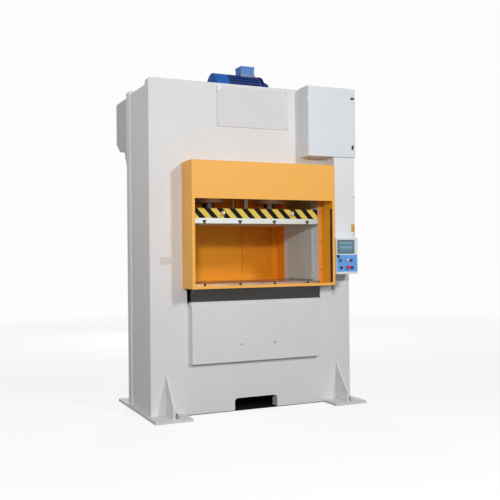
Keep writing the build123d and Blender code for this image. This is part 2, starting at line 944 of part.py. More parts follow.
# Glands that close the rod side of the cylinders
with BuildPart() as cylinder_glands:
    gland_bore = rod_radius + shaft_play
    for gland_x in (-cylinder_x, cylinder_x):
        turned(
            gland_x,
            (
                (gland_bore, gland_bottom),
                (outer_radius - gland_edge, gland_bottom),
                (outer_radius, gland_bottom + gland_edge),
                (outer_radius, gland_top),
                (gland_bore, gland_top),
            ),
        )
cylinder_glands.part.label = "cylinder_glands"
export_step(cylinder_glands.part, "parts/cylinder_glands.step")

# Screws of the cylinder flanges
with BuildPart() as flange_screws:
    with BuildSketch(level_plane(flange_bottom)):
        with Locations((-cylinder_x, 0), (cylinder_x, 0)):
            with PolarLocations(flange_screw_circle / 2, flange_screw_count):
                RegularPolygon(flange_screw_head / 2, 6, major_radius=False)
    extrude(amount=-flange_screw_head_height)
    with BuildSketch(level_plane(flange_bottom)):
        with Locations((-cylinder_x, 0), (cylinder_x, 0)):
            with PolarLocations(flange_screw_circle / 2, flange_screw_count):
                Circle(flange_screw_diameter / 2)
    extrude(amount=flange_thickness + flange_screw_depth)
flange_screws.part.label = "flange_screws"
export_step(flange_screws.part, "parts/flange_screws.step")

# Front hood, a box of sheet that is open to the operator
guard_size = (2 * guard_half_width, guard_height)
cavity_size = (guard_size[0] - 2 * guard_sheet, guard_size[1] - 2 * guard_sheet)
flange_opening = (guard_size[0] - 2 * guard_flange, guard_size[1] - 2 * guard_flange)
curtain_centre_x = curtain_inner + curtain_width / 2
curtain_front = hood_front + curtain_set_back
curtain_centre_y = curtain_front + curtain_depth / 2
plug_places = [(-curtain_centre_x, curtain_centre_y), (curtain_centre_x, curtain_centre_y)]
with BuildPart() as guard_hood:
    with BuildSketch(front_plane(front_face)):
        with Locations((0, guard_centre_z)):
            Rectangle(*guard_size)
    extrude(amount=hood_depth)
    fillet(guard_hood.edges().filter_by(Axis.Z).group_by(Axis.Y)[0], hood_corner)
    with BuildSketch(front_plane(hood_flange_face)):
        with Locations((0, guard_centre_z)):
            Rectangle(*cavity_size)
    extrude(amount=hood_depth - 2 * guard_sheet, mode=Mode.SUBTRACT)
    opening_half = guard_half_width - hood_side_lip
    block(
        (-opening_half, opening_half),
        (hood_front, hood_front + guard_sheet),
        (guard_bottom + hood_bottom_lip, hood_header_bottom),
        mode=Mode.SUBTRACT,
    )
    with BuildSketch(front_plane(front_face)):
        with Locations((0, guard_centre_z)):
            Rectangle(*flange_opening)
    extrude(amount=guard_sheet, mode=Mode.SUBTRACT)
    bolster_cut = bolster_half + hood_bolster_gap
    block(
        (-bolster_cut, bolster_cut),
        (bolster_front - hood_bolster_gap, front_face),
        (guard_bottom, guard_bottom + guard_flange),
        mode=Mode.SUBTRACT,
    )
    post(
        level_plane(guard_bottom), plug_places, plug_diameter / 2 + running_gap, guard_sheet, Mode.SUBTRACT
    )
    screw_holes(front_plane(hood_flange_face), hood_screw_places)
guard_hood.part.label = "guard_hood"
export_step(guard_hood.part, "parts/guard_hood.step")

# Light curtain bars at both edges of the hood opening, with their plugs under the floor
curtain_bottom = guard_bottom + guard_sheet
curtain_top = curtain_bottom + curtain_height
with BuildPart() as light_curtains:
    with BuildSketch(level_plane(curtain_bottom)):
        with Locations(*plug_places):
            Rectangle(curtain_width, curtain_depth)
    extrude(amount=curtain_height)
    window_limits = (curtain_bottom + curtain_window_margin, curtain_top - curtain_window_margin)
    window_y = (curtain_centre_y - curtain_window / 2, curtain_centre_y + curtain_window / 2)
    lens = (curtain_inner, curtain_inner + curtain_window_depth)
    block(lens, window_y, window_limits, mode=Mode.SUBTRACT)
    block((-lens[1], -lens[0]), window_y, window_limits, mode=Mode.SUBTRACT)
    post(level_plane(curtain_bottom), plug_places, plug_diameter / 2, -plug_length - guard_sheet)
light_curtains.part.label = "light_curtains"
export_step(light_curtains.part, "parts/light_curtains.step")

# Rear guard with the door opening and the fixed halves of its hinges
door_hinge_x = rear_opening_half_width + rear_door_overlap + rear_hinge_offset
door_plane = rear_guard_back + running_gap
door_back = door_plane + rear_door_depth
door_hinge_y = rear_guard_back + rear_knuckle_radius + running_gap
door_bottom = rear_opening_bottom - rear_door_overlap / 2
door_top = rear_opening_top + rear_door_overlap / 2
rear_hinge_levels = (
    door_bottom + rear_hinge_inset,
    door_top - rear_hinge_inset - 2 * rear_knuckle_length,
)
with BuildPart() as rear_guard:
    block(
        (-guard_half_width, guard_half_width),
        (rear_face, rear_guard_back),
        (guard_bottom, guard_top),
    )
    with BuildSketch(front_plane(rear_guard_back - guard_sheet)):
        with Locations((0, guard_centre_z)):
            Rectangle(*cavity_size)
    extrude(amount=rear_guard_depth - 2 * guard_sheet, mode=Mode.SUBTRACT)
    with BuildSketch(front_plane(rear_face + guard_sheet)):
        with Locations((0, guard_centre_z)):
            Rectangle(*flange_opening)
    extrude(amount=guard_sheet, mode=Mode.SUBTRACT)
    block(
        (-rear_opening_half_width, rear_opening_half_width),
        (rear_guard_back - guard_sheet, rear_guard_back),
        (rear_opening_bottom, rear_opening_top),
        mode=Mode.SUBTRACT,
    )
    for hinge_side in (-1, 1):
        axis_place = (hinge_side * door_hinge_x, door_hinge_y)
        leaf_end = hinge_side * (door_hinge_x + rear_hinge_leaf)
        for hinge_level in rear_hinge_levels:
            post(
                level_plane(hinge_level), [axis_place], rear_knuckle_radius, rear_knuckle_length
            )
            post(
                level_plane(hinge_level),
                [axis_place],
                rear_hinge_pin_radius,
                2 * rear_knuckle_length - running_gap,
            )
            block(
                sorted((axis_place[0], leaf_end)),
                (rear_guard_back, rear_guard_back + rear_door_sheet),
                (hinge_level, hinge_level + rear_knuckle_length),
            )
rear_guard.part.label = "rear_guard"
export_step(rear_guard.part, "parts/rear_guard.step")


def rear_door(side, free_edge):
    """One leaf of the rear door, hinged on its side, with the moving halves of its hinges."""
    hinge_edge = side * (rear_opening_half_width + rear_door_overlap)
    tray(
        sorted((hinge_edge, free_edge)),
        (door_plane, door_back),
        (door_bottom, door_top),
        rear_door_sheet,
        -1,
    )
    axis_place = (side * door_hinge_x, door_hinge_y)
    for hinge_level in rear_hinge_levels:
        start = hinge_level + rear_knuckle_length + running_gap
        length = rear_knuckle_length - 2 * running_gap
        post(level_plane(start), [axis_place], rear_knuckle_radius, length)
        block(
            sorted((hinge_edge, axis_place[0])),
            (door_hinge_y - rear_door_sheet, door_hinge_y + rear_door_sheet),
            (start, start + length),
        )
        bore = rear_hinge_pin_radius + shaft_play
        post(level_plane(start), [axis_place], bore, length, mode=Mode.SUBTRACT)


left_free_edge = rear_door_split - rear_door_meeting_gap / 2
right_free_edge = rear_door_split + rear_door_meeting_gap / 2
latch_place = (right_free_edge + latch_x_offset, latch_z)

with BuildPart() as rear_door_left:
    rear_door(-1, left_free_edge)
rear_door_left.part.label = "rear_door_left"
export_step(rear_door_left.part, "parts/rear_door_left.step")

with BuildPart() as rear_door_right:
    rear_door(1, right_free_edge)
    latch_hole = latch_spindle_radius + shaft_play
    post(front_plane(door_back), [latch_place], latch_hole, rear_door_sheet, mode=Mode.SUBTRACT)
rear_door_right.part.label = "rear_door_right"
export_step(rear_door_right.part, "parts/rear_door_right.step")

# Latch of the rear door, upright when unlocked
cam_plane = rear_guard_back - guard_sheet - running_gap
with BuildPart() as rear_door_latch:
    post(
        front_plane(door_back + running_gap),
        [latch_place],
        latch_spindle_radius,
        door_back + running_gap - cam_plane + guard_sheet,
    )
    with BuildSketch(front_plane(door_back + running_gap)):
        with Locations((latch_place[0], latch_place[1] - latch_handle_length / 4)):
            SlotOverall(latch_handle_length, 2.6 * latch_spindle_radius, rotation=90)
    extrude(amount=-latch_spindle_radius * 2)
    with BuildSketch(front_plane(cam_plane)):
        with Locations((latch_place[0], latch_place[1] + latch_cam_length / 4)):
            SlotOverall(latch_cam_length, 2.6 * latch_spindle_radius, rotation=90)
    extrude(amount=guard_sheet)
rear_door_latch.part.label = "rear_door_latch"
export_step(rear_door_latch.part, "parts/rear_door_latch.step")

# Oil tank on the rear of the crown, with its two side braces and the filler neck
with BuildPart() as oil_tank:
    slope_start = tank_back - tank_slope_depth
    for outline_inset, outline_mode in ((0, Mode.ADD), (tank_sheet, Mode.SUBTRACT)):
        with BuildSketch(side_plane(-half_width + outline_inset)) as tank_outline:
            Polygon(
                (rear_face + outline_inset, tank_bottom + outline_inset),
                (slope_start, tank_bottom + outline_inset),
                (tank_back - outline_inset, tank_bottom + tank_slope_height),
                (tank_back - outline_inset, tank_top - outline_inset),
                (rear_face + outline_inset, tank_top - outline_inset),
            )
            top_corner = tank_outline.vertices().sort_by(lambda v: v.X + v.Y)[-1]
            fillet(top_corner, tank_corner - outline_inset)
        extrude(amount=frame_width - 2 * outline_inset, mode=outline_mode)
    for brace_x in (-half_width, half_width - brace_thickness):
        with BuildSketch(side_plane(brace_x)):
            Polygon(
                (rear_face, tank_bottom),
                (rear_face, tank_bottom - brace_height),
                (rear_face + brace_reach, tank_bottom - brace_nose),
                (rear_face + brace_reach, tank_bottom),
            )
        extrude(amount=brace_thickness)
    neck_radius = filler_bore / 2 + filler_wall
    post(level_plane(tank_top), [(filler_x, filler_y)], neck_radius, filler_height)
    bore_length = -filler_height - tank_sheet
    neck_plane = level_plane(tank_top + filler_height)
    post(neck_plane, [(filler_x, filler_y)], filler_bore / 2, bore_length, Mode.SUBTRACT)
    suction_hole = suction_radius - pipe_wall
    return_hole = pipe_radius - pipe_wall
    top_plane = level_plane(tank_top)
    post(top_plane, [(suction_x, suction_y)], suction_hole, -tank_sheet, Mode.SUBTRACT)
    post(top_plane, [(return_x, suction_y)], return_hole, -tank_sheet, Mode.SUBTRACT)
oil_tank.part.label = "oil_tank"
export_step(oil_tank.part, "parts/oil_tank.step")

# Filler cap with a grip across its top
with BuildPart() as filler_cap:
    cap_bottom = tank_top + filler_height + running_gap
    cap_place = [(filler_x, filler_y)]
    post(level_plane(cap_bottom), cap_place, neck_radius + 3, filler_cap_height)
    post(level_plane(cap_bottom), cap_place, filler_bore / 2 - running_gap, -filler_plug)
    with BuildSketch(level_plane(cap_bottom + filler_cap_height)):
        with Locations((filler_x, filler_y)):
            SlotOverall(2 * neck_radius - 8, filler_grip_width)
    extrude(amount=filler_grip_height)
filler_cap.part.label = "filler_cap"
export_step(filler_cap.part, "parts/filler_cap.step")


def hinge_levels(bottom, height, inset):
    """Heights at which the two hinges of a small door start."""
    return (bottom + inset, bottom + height - inset - 2 * hinge_knuckle_length)


def fixed_hinges(side, wall_x, joint_y, axis_y, levels):
    """Fixed halves of door hinges on a side wall; side is 1 where they stand on its right."""
    axis_x = wall_x + side * hinge_offset
    for start in levels:
        post(level_plane(start), [(axis_x, axis_y)], hinge_knuckle_radius, hinge_knuckle_length)
        pin_length = 2 * hinge_knuckle_length - running_gap
        post(level_plane(start), [(axis_x, axis_y)], hinge_pin_radius, pin_length)
        web_x = sorted((axis_x, axis_x - side * hinge_leaf / 2))
        z_limits = (start, start + hinge_knuckle_length)
        leaf_start = joint_y + 1
        block(web_x, (axis_y, leaf_start + hinge_leaf), z_limits)
        leaf_x = sorted((axis_x, wall_x))
        block(leaf_x, (leaf_start, leaf_start + hinge_leaf_length), z_limits)


def moving_hinges(side, wall_x, axis_y, levels):
    """Moving halves of door hinges on the side wall of the door."""
    axis_x = wall_x + side * hinge_offset
    for start in levels:
        low = start + hinge_knuckle_length + running_gap
        length = hinge_knuckle_length - 2 * running_gap
        post(level_plane(low), [(axis_x, axis_y)], hinge_knuckle_radius, length)
        leaf_y = (axis_y - hinge_leaf / 2, axis_y + hinge_leaf / 2)
        block(sorted((axis_x, wall_x)), leaf_y, (low, low + length))
        bore = hinge_pin_radius + shaft_play
        post(level_plane(low), [(axis_x, axis_y)], bore, length, mode=Mode.SUBTRACT)


def box_body(x_limits, y_limits, z_limits, sheet, lip):
    """Sheet box that is open to the front, with a lip folded inwards round its mouth."""
    block(x_limits, y_limits, z_limits)
    inner = [[low + sheet, high - sheet] for low, high in (x_limits, y_limits, z_limits)]
    block(*inner, mode=Mode.SUBTRACT)
    mouth_x = (x_limits[0] + sheet + lip, x_limits[1] - sheet - lip)
    mouth_z = (z_limits[0] + sheet + lip, z_limits[1] - sheet - lip)
    block(mouth_x, (y_limits[0], y_limits[0] + sheet), mouth_z, mode=Mode.SUBTRACT)


# Electrical cabinet on the right of the crown
cabinet_hinge_y = cabinet_front + cabinet_door_depth / 2
cabinet_levels = hinge_levels(cabinet_bottom, cabinet_height, cabinet_hinge_inset)
cabinet_body_front = cabinet_joint + running_gap
with BuildPart() as cabinet_body:
    box_body(
        (cabinet_left, cabinet_right),
        (cabinet_body_front, front_face),
        (cabinet_bottom, cabinet_top),
        cabinet_sheet,
        cabinet_flange,
    )
    fixed_hinges(-1, cabinet_left, cabinet_joint, cabinet_hinge_y, cabinet_levels)
cabinet_body.part.label = "cabinet_body"
export_step(cabinet_body.part, "parts/cabinet_body.step")

lock_x = cabinet_right - cabinet_lock_inset
lock_places = [(lock_x, cabinet_lock_upper_z), (lock_x, cabinet_lock_lower_z)]
with BuildPart() as cabinet_door:
    tray(
        (cabinet_left, cabinet_right),
        (cabinet_front, cabinet_joint),
        (cabinet_bottom, cabinet_top),
        cabinet_door_sheet,
        1,
    )
    moving_hinges(-1, cabinet_left, cabinet_hinge_y, cabinet_levels)
    lock_hole = lock_spindle_radius + shaft_play
    door_sheet_back = front_plane(cabinet_front + cabinet_door_sheet)
    post(door_sheet_back, lock_places, lock_hole, cabinet_door_sheet, mode=Mode.SUBTRACT)
cabinet_door.part.label = "cabinet_door"
export_step(cabinet_door.part, "parts/cabinet_door.step")


def cabinet_lock(place, handle_angle):
    """Quarter-turn lock with its handle in front and its cam, upright at rest, behind the door."""
    x, z = place
    disc_back = cabinet_front - running_gap
    cam_front = cabinet_body_front + cabinet_sheet + running_gap
    post(front_plane(disc_back), [place], lock_disc_radius, 3)
    spindle = cam_front + lock_cam_thickness - disc_back
    post(front_plane(disc_back), [place], lock_spindle_radius, -spindle)
    with BuildSketch(front_plane(disc_back)) as handle:
        with Locations(place):
            SlotOverall(lock_handle_length, lock_handle_width, rotation=handle_angle)
    extrude(handle.sketch, amount=lock_handle_height)
    with BuildSketch(front_plane(cam_front + lock_cam_thickness)) as cam:
        with Locations((x, z + lock_cam_length / 2)):
            Rectangle(lock_cam_width, lock_cam_length)
    extrude(cam.sketch, amount=lock_cam_thickness)


with BuildPart() as cabinet_lock_upper:
    cabinet_lock(lock_places[0], 0)
cabinet_lock_upper.part.label = "cabinet_lock_upper"
export_step(cabinet_lock_upper.part, "parts/cabinet_lock_upper.step")

with BuildPart() as cabinet_lock_lower:
    cabinet_lock(lock_places[1], 90)
cabinet_lock_lower.part.label = "cabinet_lock_lower"
export_step(cabinet_lock_lower.part, "parts/cabinet_lock_lower.step")

# Mounting panel with the electrical equipment inside the cabinet
panel_x = (cabinet_left + cabinet_sheet + panel_margin, cabinet_right - cabinet_sheet - panel_margin)
panel_z = (cabinet_bottom + cabinet_sheet + panel_margin, cabinet_top - cabinet_sheet - panel_margin)
panel_back = front_face - cabinet_sheet - panel_stand_off
panel_front = panel_back - panel_thickness
panel_middle = (panel_x[0] + panel_x[1]) / 2
with BuildPart() as cabinet_equipment:
    block(panel_x, (panel_front, panel_back), panel_z)
    stand_off_places = [
        (x, z)
        for x in (panel_x[0] + panel_margin, panel_x[1] - panel_margin)
        for z in (panel_z[0] + panel_margin, panel_z[1] - panel_margin)
    ]
    post(front_plane(front_face - cabinet_sheet), stand_off_places, panel_stand_off_radius, panel_stand_off)
    contactor_z = panel_z[0] + 0.42 * (panel_z[1] - panel_z[0])
    with BuildSketch(front_plane(panel_front)):
        with Locations((panel_middle, contactor_z)):
            with GridLocations(contactor_pitch, 1, contactor_count, 1):
                Rectangle(contactor_width, contactor_height)
    extrude(amount=contactor_depth)
    duct_x = (panel_x[0], panel_x[1])
    for duct_z in (contactor_z - contactor_height, contactor_z + contactor_height):
        duct_limits = (duct_z - duct_height / 2, duct_z + duct_height / 2)
        block(duct_x, (panel_front - duct_depth, panel_front), duct_limits)
    terminal_z = (panel_z[0] + panel_margin * 2, panel_z[0] + panel_margin * 2 + terminal_height)
    block(
        (panel_x[0] + 2 * panel_margin, panel_x[1] - 2 * panel_margin),
        (panel_front - terminal_depth, panel_front),
        terminal_z,
    )
    drive_left = panel_x[0] + 2 * panel_margin
    drive_z = (panel_z[1] - panel_margin - drive_height, panel_z[1] - panel_margin)
    block((drive_left, drive_left + drive_width), (panel_front - drive_depth, panel_front), drive_z)
cabinet_equipment.part.label = "cabinet_equipment"
export_step(cabinet_equipment.part, "parts/cabinet_equipment.step")

# Wiring column between the cabinet and the control box
with BuildPart() as wiring_column:
    box_body(
        (column_left, column_right),
        (column_front, front_face),
        (column_bottom, column_top),
        column_sheet,
        column_flange,
    )
    screw_holes(front_plane(cover_front), column_screw_places)
wiring_column.part.label = "wiring_column"
export_step(wiring_column.part, "parts/wiring_column.step")

with BuildPart() as wiring_column_cover:
    block((column_left, column_right), (cover_front, column_front), (column_bottom, column_top))
    screw_holes(front_plane(cover_front), column_screw_places)
wiring_column_cover.part.label = "wiring_column_cover"
export_step(wiring_column_cover.part, "parts/wiring_column_cover.step")

# Control box in front of the wiring column
box_hinge_y = box_front + box_door_depth / 2
box_levels = hinge_levels(box_bottom, box_height, box_hinge_inset)
box_body_front = box_joint + running_gap
with BuildPart() as control_box:
    box_body(
        (box_left, box_right),
        (box_body_front, cover_front),
        (box_bottom, box_top),
        box_sheet,
        box_flange,
    )
    fixed_hinges(1, box_right, box_joint, box_hinge_y, box_levels)
control_box.part.label = "control_box"
export_step(control_box.part, "parts/control_box.step")

operator_places = [
    (box_left + x, z)
    for x, z in (start_spot, selector_spot, stop_spot, inch_spot, emergency_spot, reset_spot)
]
start_place, selector_place, stop_place, inch_place, emergency_place, reset_place = operator_places
housing_x = (bezel_left + panel_housing_margin, bezel_right - panel_housing_margin)
housing_z = (bezel_bottom + panel_housing_margin, bezel_top - panel_housing_margin)
knob_place = (box_left + knob_inset, knob_z)
with BuildPart() as control_box_door:
    tray(
        (box_left, box_right),
        (box_front, box_joint),
        (box_bottom, box_top),
        box_sheet,
        1,
    )
    moving_hinges(1, box_right, box_hinge_y, box_levels)
    sheet_back = front_plane(box_front + box_sheet)
    post(sheet_back, operator_places, operator_hole_radius, box_sheet, mode=Mode.SUBTRACT)
    post(sheet_back, [knob_place], knob_spindle_radius + shaft_play, box_sheet, Mode.SUBTRACT)
    cut_x = (housing_x[0] - running_gap, housing_x[1] + running_gap)
    cut_z = (housing_z[0] - running_gap, housing_z[1] + running_gap)
    block(cut_x, (box_front, box_front + box_sheet), cut_z, mode=Mode.SUBTRACT)
control_box_door.part.label = "control_box_door"
export_step(control_box_door.part, "parts/control_box_door.step")

# Quarter-turn knob that locks the control box door
with BuildPart() as control_box_lock:
    knob_back = operator_face - running_gap
    knob_cam_front = box_body_front + box_sheet + running_gap
    post(front_plane(knob_back), [knob_place], knob_radius, knob_height)
    knob_rim = control_box_lock.faces().filter_by(Axis.Y).sort_by(Axis.Y)[0].edges()
    fillet(knob_rim, knob_radius / 4)
    knob_spindle = knob_cam_front + lock_cam_thickness - knob_back
    post(front_plane(knob_back), [knob_place], knob_spindle_radius, -knob_spindle)
    with BuildSketch(front_plane(knob_cam_front + lock_cam_thickness)):
        with Locations((knob_place[0], knob_z + knob_cam_length / 2)):
            Rectangle(knob_cam_width, knob_cam_length)
    extrude(amount=lock_cam_thickness)
control_box_lock.part.label = "control_box_lock"
export_step(control_box_lock.part, "parts/control_box_lock.step")

# Touch panel
with BuildPart() as touch_panel:
    bezel_front = box_front - bezel_depth
    block((bezel_left, bezel_right), (bezel_front, box_front), (bezel_bottom, bezel_top))
    fillet(touch_panel.edges().filter_by(Axis.Y), 5)
    block(housing_x, (box_front, box_front + panel_housing_depth), housing_z)
    screen_x = (bezel_left + bezel_screen_margin, bezel_right - bezel_screen_margin)
    screen_z = (bezel_bottom + bezel_screen_margin, bezel_top - bezel_screen_margin)
    block(screen_x, (bezel_front, bezel_front + bezel_screen_recess), screen_z, Mode.SUBTRACT)
touch_panel.part.label = "touch_panel"
export_step(touch_panel.part, "parts/touch_panel.step")

# Legend plate under the operators
with BuildPart() as operator_plate:
    with BuildSketch(front_plane(box_front)):
        with Locations(((plate_left + plate_right) / 2, (plate_bottom + plate_top) / 2)):
            Rectangle(plate_right - plate_left, plate_top - plate_bottom)
        with Locations(*operator_places):
            Circle(operator_hole_radius, mode=Mode.SUBTRACT)
        with Locations(knob_place):
            Circle(knob_spindle_radius + shaft_play, mode=Mode.SUBTRACT)
    extrude(amount=operator_plate_thickness)
operator_plate.part.label = "operator_plate"
export_step(operator_plate.part, "parts/operator_plate.step")

# Bezels of the operators, each with its barrel through the door
ring_face = operator_face - operator_ring_height
barrel_end = box_front + operator_barrel_length
with BuildPart() as operator_bezels:
    post(front_plane(operator_face), operator_places, operator_ring_radius, operator_ring_height)
    barrel_length = barrel_end - operator_face
    post(front_plane(operator_face), operator_places, operator_barrel_radius, -barrel_length)
    bezel_bore_length = barrel_end - operator_floor - ring_face
    post(front_plane(ring_face), operator_places, operator_bore_radius, -bezel_bore_length, Mode.SUBTRACT)
operator_bezels.part.label = "operator_bezels"
export_step(operator_bezels.part, "parts/operator_bezels.step")


def plunger(place, front_y, travel):
    """Stem in the bore of a bezel, short of its floor by the travel, from a front face."""
    back_y = barrel_end - operator_floor - travel - running_gap
    post(front_plane(back_y), [place], operator_bore_radius - running_gap, back_y - front_y)


cap_front = ring_face - cap_stand_out - button_travel
with BuildPart() as start_button:
    plunger(start_place, cap_front, button_travel)
start_button.part.label = "start_button"
export_step(start_button.part, "parts/start_button.step")

with BuildPart() as stop_button:
    plunger(stop_place, cap_front, button_travel)
stop_button.part.label = "stop_button"
export_step(stop_button.part, "parts/stop_button.step")

with BuildPart() as inch_button:
    plunger(inch_place, cap_front, button_travel)
inch_button.part.label = "inch_button"
export_step(inch_button.part, "parts/inch_button.step")

with BuildPart() as reset_button:
    plunger(reset_place, cap_front, button_travel)
reset_button.part.label = "reset_button"
export_step(reset_button.part, "parts/reset_button.step")

# Emergency stop with a mushroom head
with BuildPart() as emergency_stop:
    head_back = ring_face - emergency_travel - running_gap
    post(front_plane(head_back), [emergency_place], mushroom_radius, mushroom_height)
    mushroom_rim = emergency_stop.faces().filter_by(Axis.Y).sort_by(Axis.Y)[0].edges()
    fillet(mushroom_rim, mushroom_edge)
    plunger(emergency_place, head_back, emergency_travel)
emergency_stop.part.label = "emergency_stop"
export_step(emergency_stop.part, "parts/emergency_stop.step")

# Mode selector with a grip across its face
with BuildPart() as mode_selector:
    skirt_back = ring_face - running_gap
    post(front_plane(skirt_back), [selector_place], selector_radius, selector_skirt)
    with BuildSketch(front_plane(skirt_back - selector_skirt)):
        with Locations(selector_place):
            SlotOverall(selector_handle_length, selector_handle_width, rotation=45)
    extrude(amount=selector_handle_height)
    plunger(selector_place, skirt_back, 0)
mode_selector.part.label = "mode_selector"
export_step(mode_selector.part, "parts/mode_selector.step")

# Motor housing with cooling fins, its feet on the crown top
motor_plane = side_plane(0)
motor_centre = (0, motor_axis_z)
with BuildPart() as motor_housing:
    post(side_plane(motor_left), [motor_centre], motor_shell, motor_right - motor_left)
    fin_length = motor_radius - motor_shell + motor_fin_thickness
    with BuildSketch(side_plane(motor_left + motor_fin_margin)):
        with Locations(motor_centre):
            fin_centre = motor_radius - fin_length / 2
            with PolarLocations(fin_centre, motor_fin_count, start_angle=180 / motor_fin_count):
                Rectangle(fin_length, motor_fin_thickness)
    extrude(amount=motor_right - motor_left - 2 * motor_fin_margin)
    foot_x = (motor_foot_left, motor_foot_right)
    foot_top = crown_top_level + motor_foot_thickness
    foot_y = (-motor_foot_half_width, motor_foot_half_width)
    block(foot_x, foot_y, (crown_top_level, foot_top))
    web_y = (-motor_web_half_width, motor_web_half_width)
    block(foot_x, web_y, (crown_top_level, motor_axis_z - motor_bore))
    pad_x = (terminal_box_left, terminal_box_left + terminal_box_width)
    pad_y = (-terminal_box_depth / 2, terminal_box_depth / 2)
    pad_top = motor_axis_z + motor_radius + terminal_pad
    block(pad_x, pad_y, (motor_axis_z + motor_bore, pad_top))
    cavity_length = motor_right - motor_left - 2 * motor_end
    post(side_plane(motor_left + motor_end), [motor_centre], motor_bore, cavity_length, Mode.SUBTRACT)
    bearing_bore = shaft_radius + shaft_play
    bearing_length = motor_right - motor_left
    post(side_plane(motor_left), [motor_centre], bearing_bore, bearing_length, Mode.SUBTRACT)
motor_housing.part.label = "motor_housing"
export_step(motor_housing.part, "parts/motor_housing.step")

# Motor rotor with its shaft, fan and coupling
with BuildPart() as motor_rotor:
    fan_left = motor_left - fan_gap - fan_thickness
    shaft_end = motor_right + coupling_length
    post(side_plane(fan_left), [motor_centre], shaft_radius, shaft_end - fan_left)
    core_left = motor_left + motor_end + rotor_core_margin
    core_right = motor_right - motor_end - rotor_core_margin
    post(side_plane(core_left), [motor_centre], rotor_core_radius, core_right - core_left)
    post(side_plane(fan_left), [motor_centre], fan_radius, fan_thickness)
    coupling_left = motor_right + bell_flange
    post(side_plane(coupling_left), [motor_centre], coupling_radius, shaft_end - coupling_left)
motor_rotor.part.label = "motor_rotor"
export_step(motor_rotor.part, "parts/motor_rotor.step")

# Fan cover with a grille of slots in its end
with BuildPart() as motor_fan_cover:
    post(side_plane(motor_fan_end), [motor_centre], motor_radius, fan_cover_length)
    cup_radius = motor_radius - fan_cover_sheet
    cup_plane = side_plane(motor_fan_end + fan_cover_sheet)
    cup_length = fan_cover_length - 2 * fan_cover_sheet
    post(cup_plane, [motor_centre], cup_radius, cup_length, Mode.SUBTRACT)
    mouth_plane = side_plane(motor_left - fan_cover_sheet)
    mouth_radius = motor_shell - 2 * fan_cover_sheet
    post(mouth_plane, [motor_centre], mouth_radius, fan_cover_sheet, Mode.SUBTRACT)
    with BuildSketch(side_plane(motor_fan_end)):
        with Locations(motor_centre):
            slot_centre = (fan_slot_inner + fan_slot_outer) / 2
            with PolarLocations(slot_centre, fan_slot_count):
                SlotOverall(fan_slot_outer - fan_slot_inner, fan_slot_width)
    extrude(amount=fan_cover_sheet, mode=Mode.SUBTRACT)
motor_fan_cover.part.label = "motor_fan_cover"
export_step(motor_fan_cover.part, "parts/motor_fan_cover.step")

# Terminal box on the motor
with BuildPart() as motor_terminal_box:
    lid_bottom = pad_top + terminal_box_height - terminal_box_lid
    with BuildSketch(level_plane(pad_top)):
        with Locations((terminal_box_left + terminal_box_width / 2, 0)):
            inset = 2 * terminal_box_lip
            RectangleRounded(terminal_box_width - inset, terminal_box_depth - inset, 10)
    extrude(amount=lid_bottom - pad_top)
    with BuildSketch(level_plane(lid_bottom)):
        with Locations((terminal_box_left + terminal_box_width / 2, 0)):
            RectangleRounded(terminal_box_width, terminal_box_depth, 12)
    extrude(amount=terminal_box_lid)
    chamfer(motor_terminal_box.faces().sort_by(Axis.Z)[-1].edges(), terminal_box_lip)
motor_terminal_box.part.label = "motor_terminal_box"
export_step(motor_terminal_box.part, "parts/motor_terminal_box.step")

# Bell housing between motor and pump
with BuildPart() as bell_housing:
    post(side_plane(motor_right), [motor_centre], motor_radius, bell_flange)
    with BuildSketch(side_plane(motor_right + bell_flange)):
        with Locations(motor_centre):
            Circle(motor_shell - bell_flange)
    with BuildSketch(side_plane(bell_right)):
        with Locations(motor_centre):
            Circle(bell_neck_radius)
    loft()
    post(side_plane(motor_right), [motor_centre], bell_bore_radius, bell_length, Mode.SUBTRACT)
bell_housing.part.label = "bell_housing"
export_step(bell_housing.part, "parts/bell_housing.step")

# Gear pump with its flange
with BuildPart() as pump:
    post(side_plane(bell_right), [motor_centre], pump_flange_radius, pump_flange)
    pump_y = (-pump_half_width, pump_half_width)
    pump_z = (motor_axis_z - pump_below, motor_axis_z + pump_above)
    with BuildSketch(side_plane(bell_right + pump_flange)):
        with Locations((0, (pump_z[0] + pump_z[1]) / 2)):
            RectangleRounded(2 * pump_half_width, pump_z[1] - pump_z[0], pump_half_width / 2)
    extrude(amount=pump_length - pump_flange)
    port_boss = pump_half_width + pump_port_proud
    boss_x = (pump_port_x - pump_port_half, pump_port_x + pump_port_half)
    boss_z = (pump_port_z - pump_port_half, pump_port_z + pump_port_half)
    block(boss_x, (0, port_boss), boss_z)
pump.part.label = "pump"
export_step(pump.part, "parts/pump.step")

# Valve manifold with its row of directional valves
with BuildPart() as valve_manifold:
    manifold_x = (manifold_left, manifold_right)
    manifold_y = (-manifold_half_depth, manifold_half_depth)
    block(manifold_x, manifold_y, (crown_top_level, manifold_top))
    manifold_middle = (manifold_left + manifold_right) / 2
    with BuildSketch(level_plane(manifold_top)):
        with Locations((manifold_middle, 0)):
            with GridLocations(valve_pitch, 1, valve_count, 1):
                Rectangle(valve_width, valve_length)
    extrude(amount=valve_height)
valve_manifold.part.label = "valve_manifold"
export_step(valve_manifold.part, "parts/valve_manifold.step")

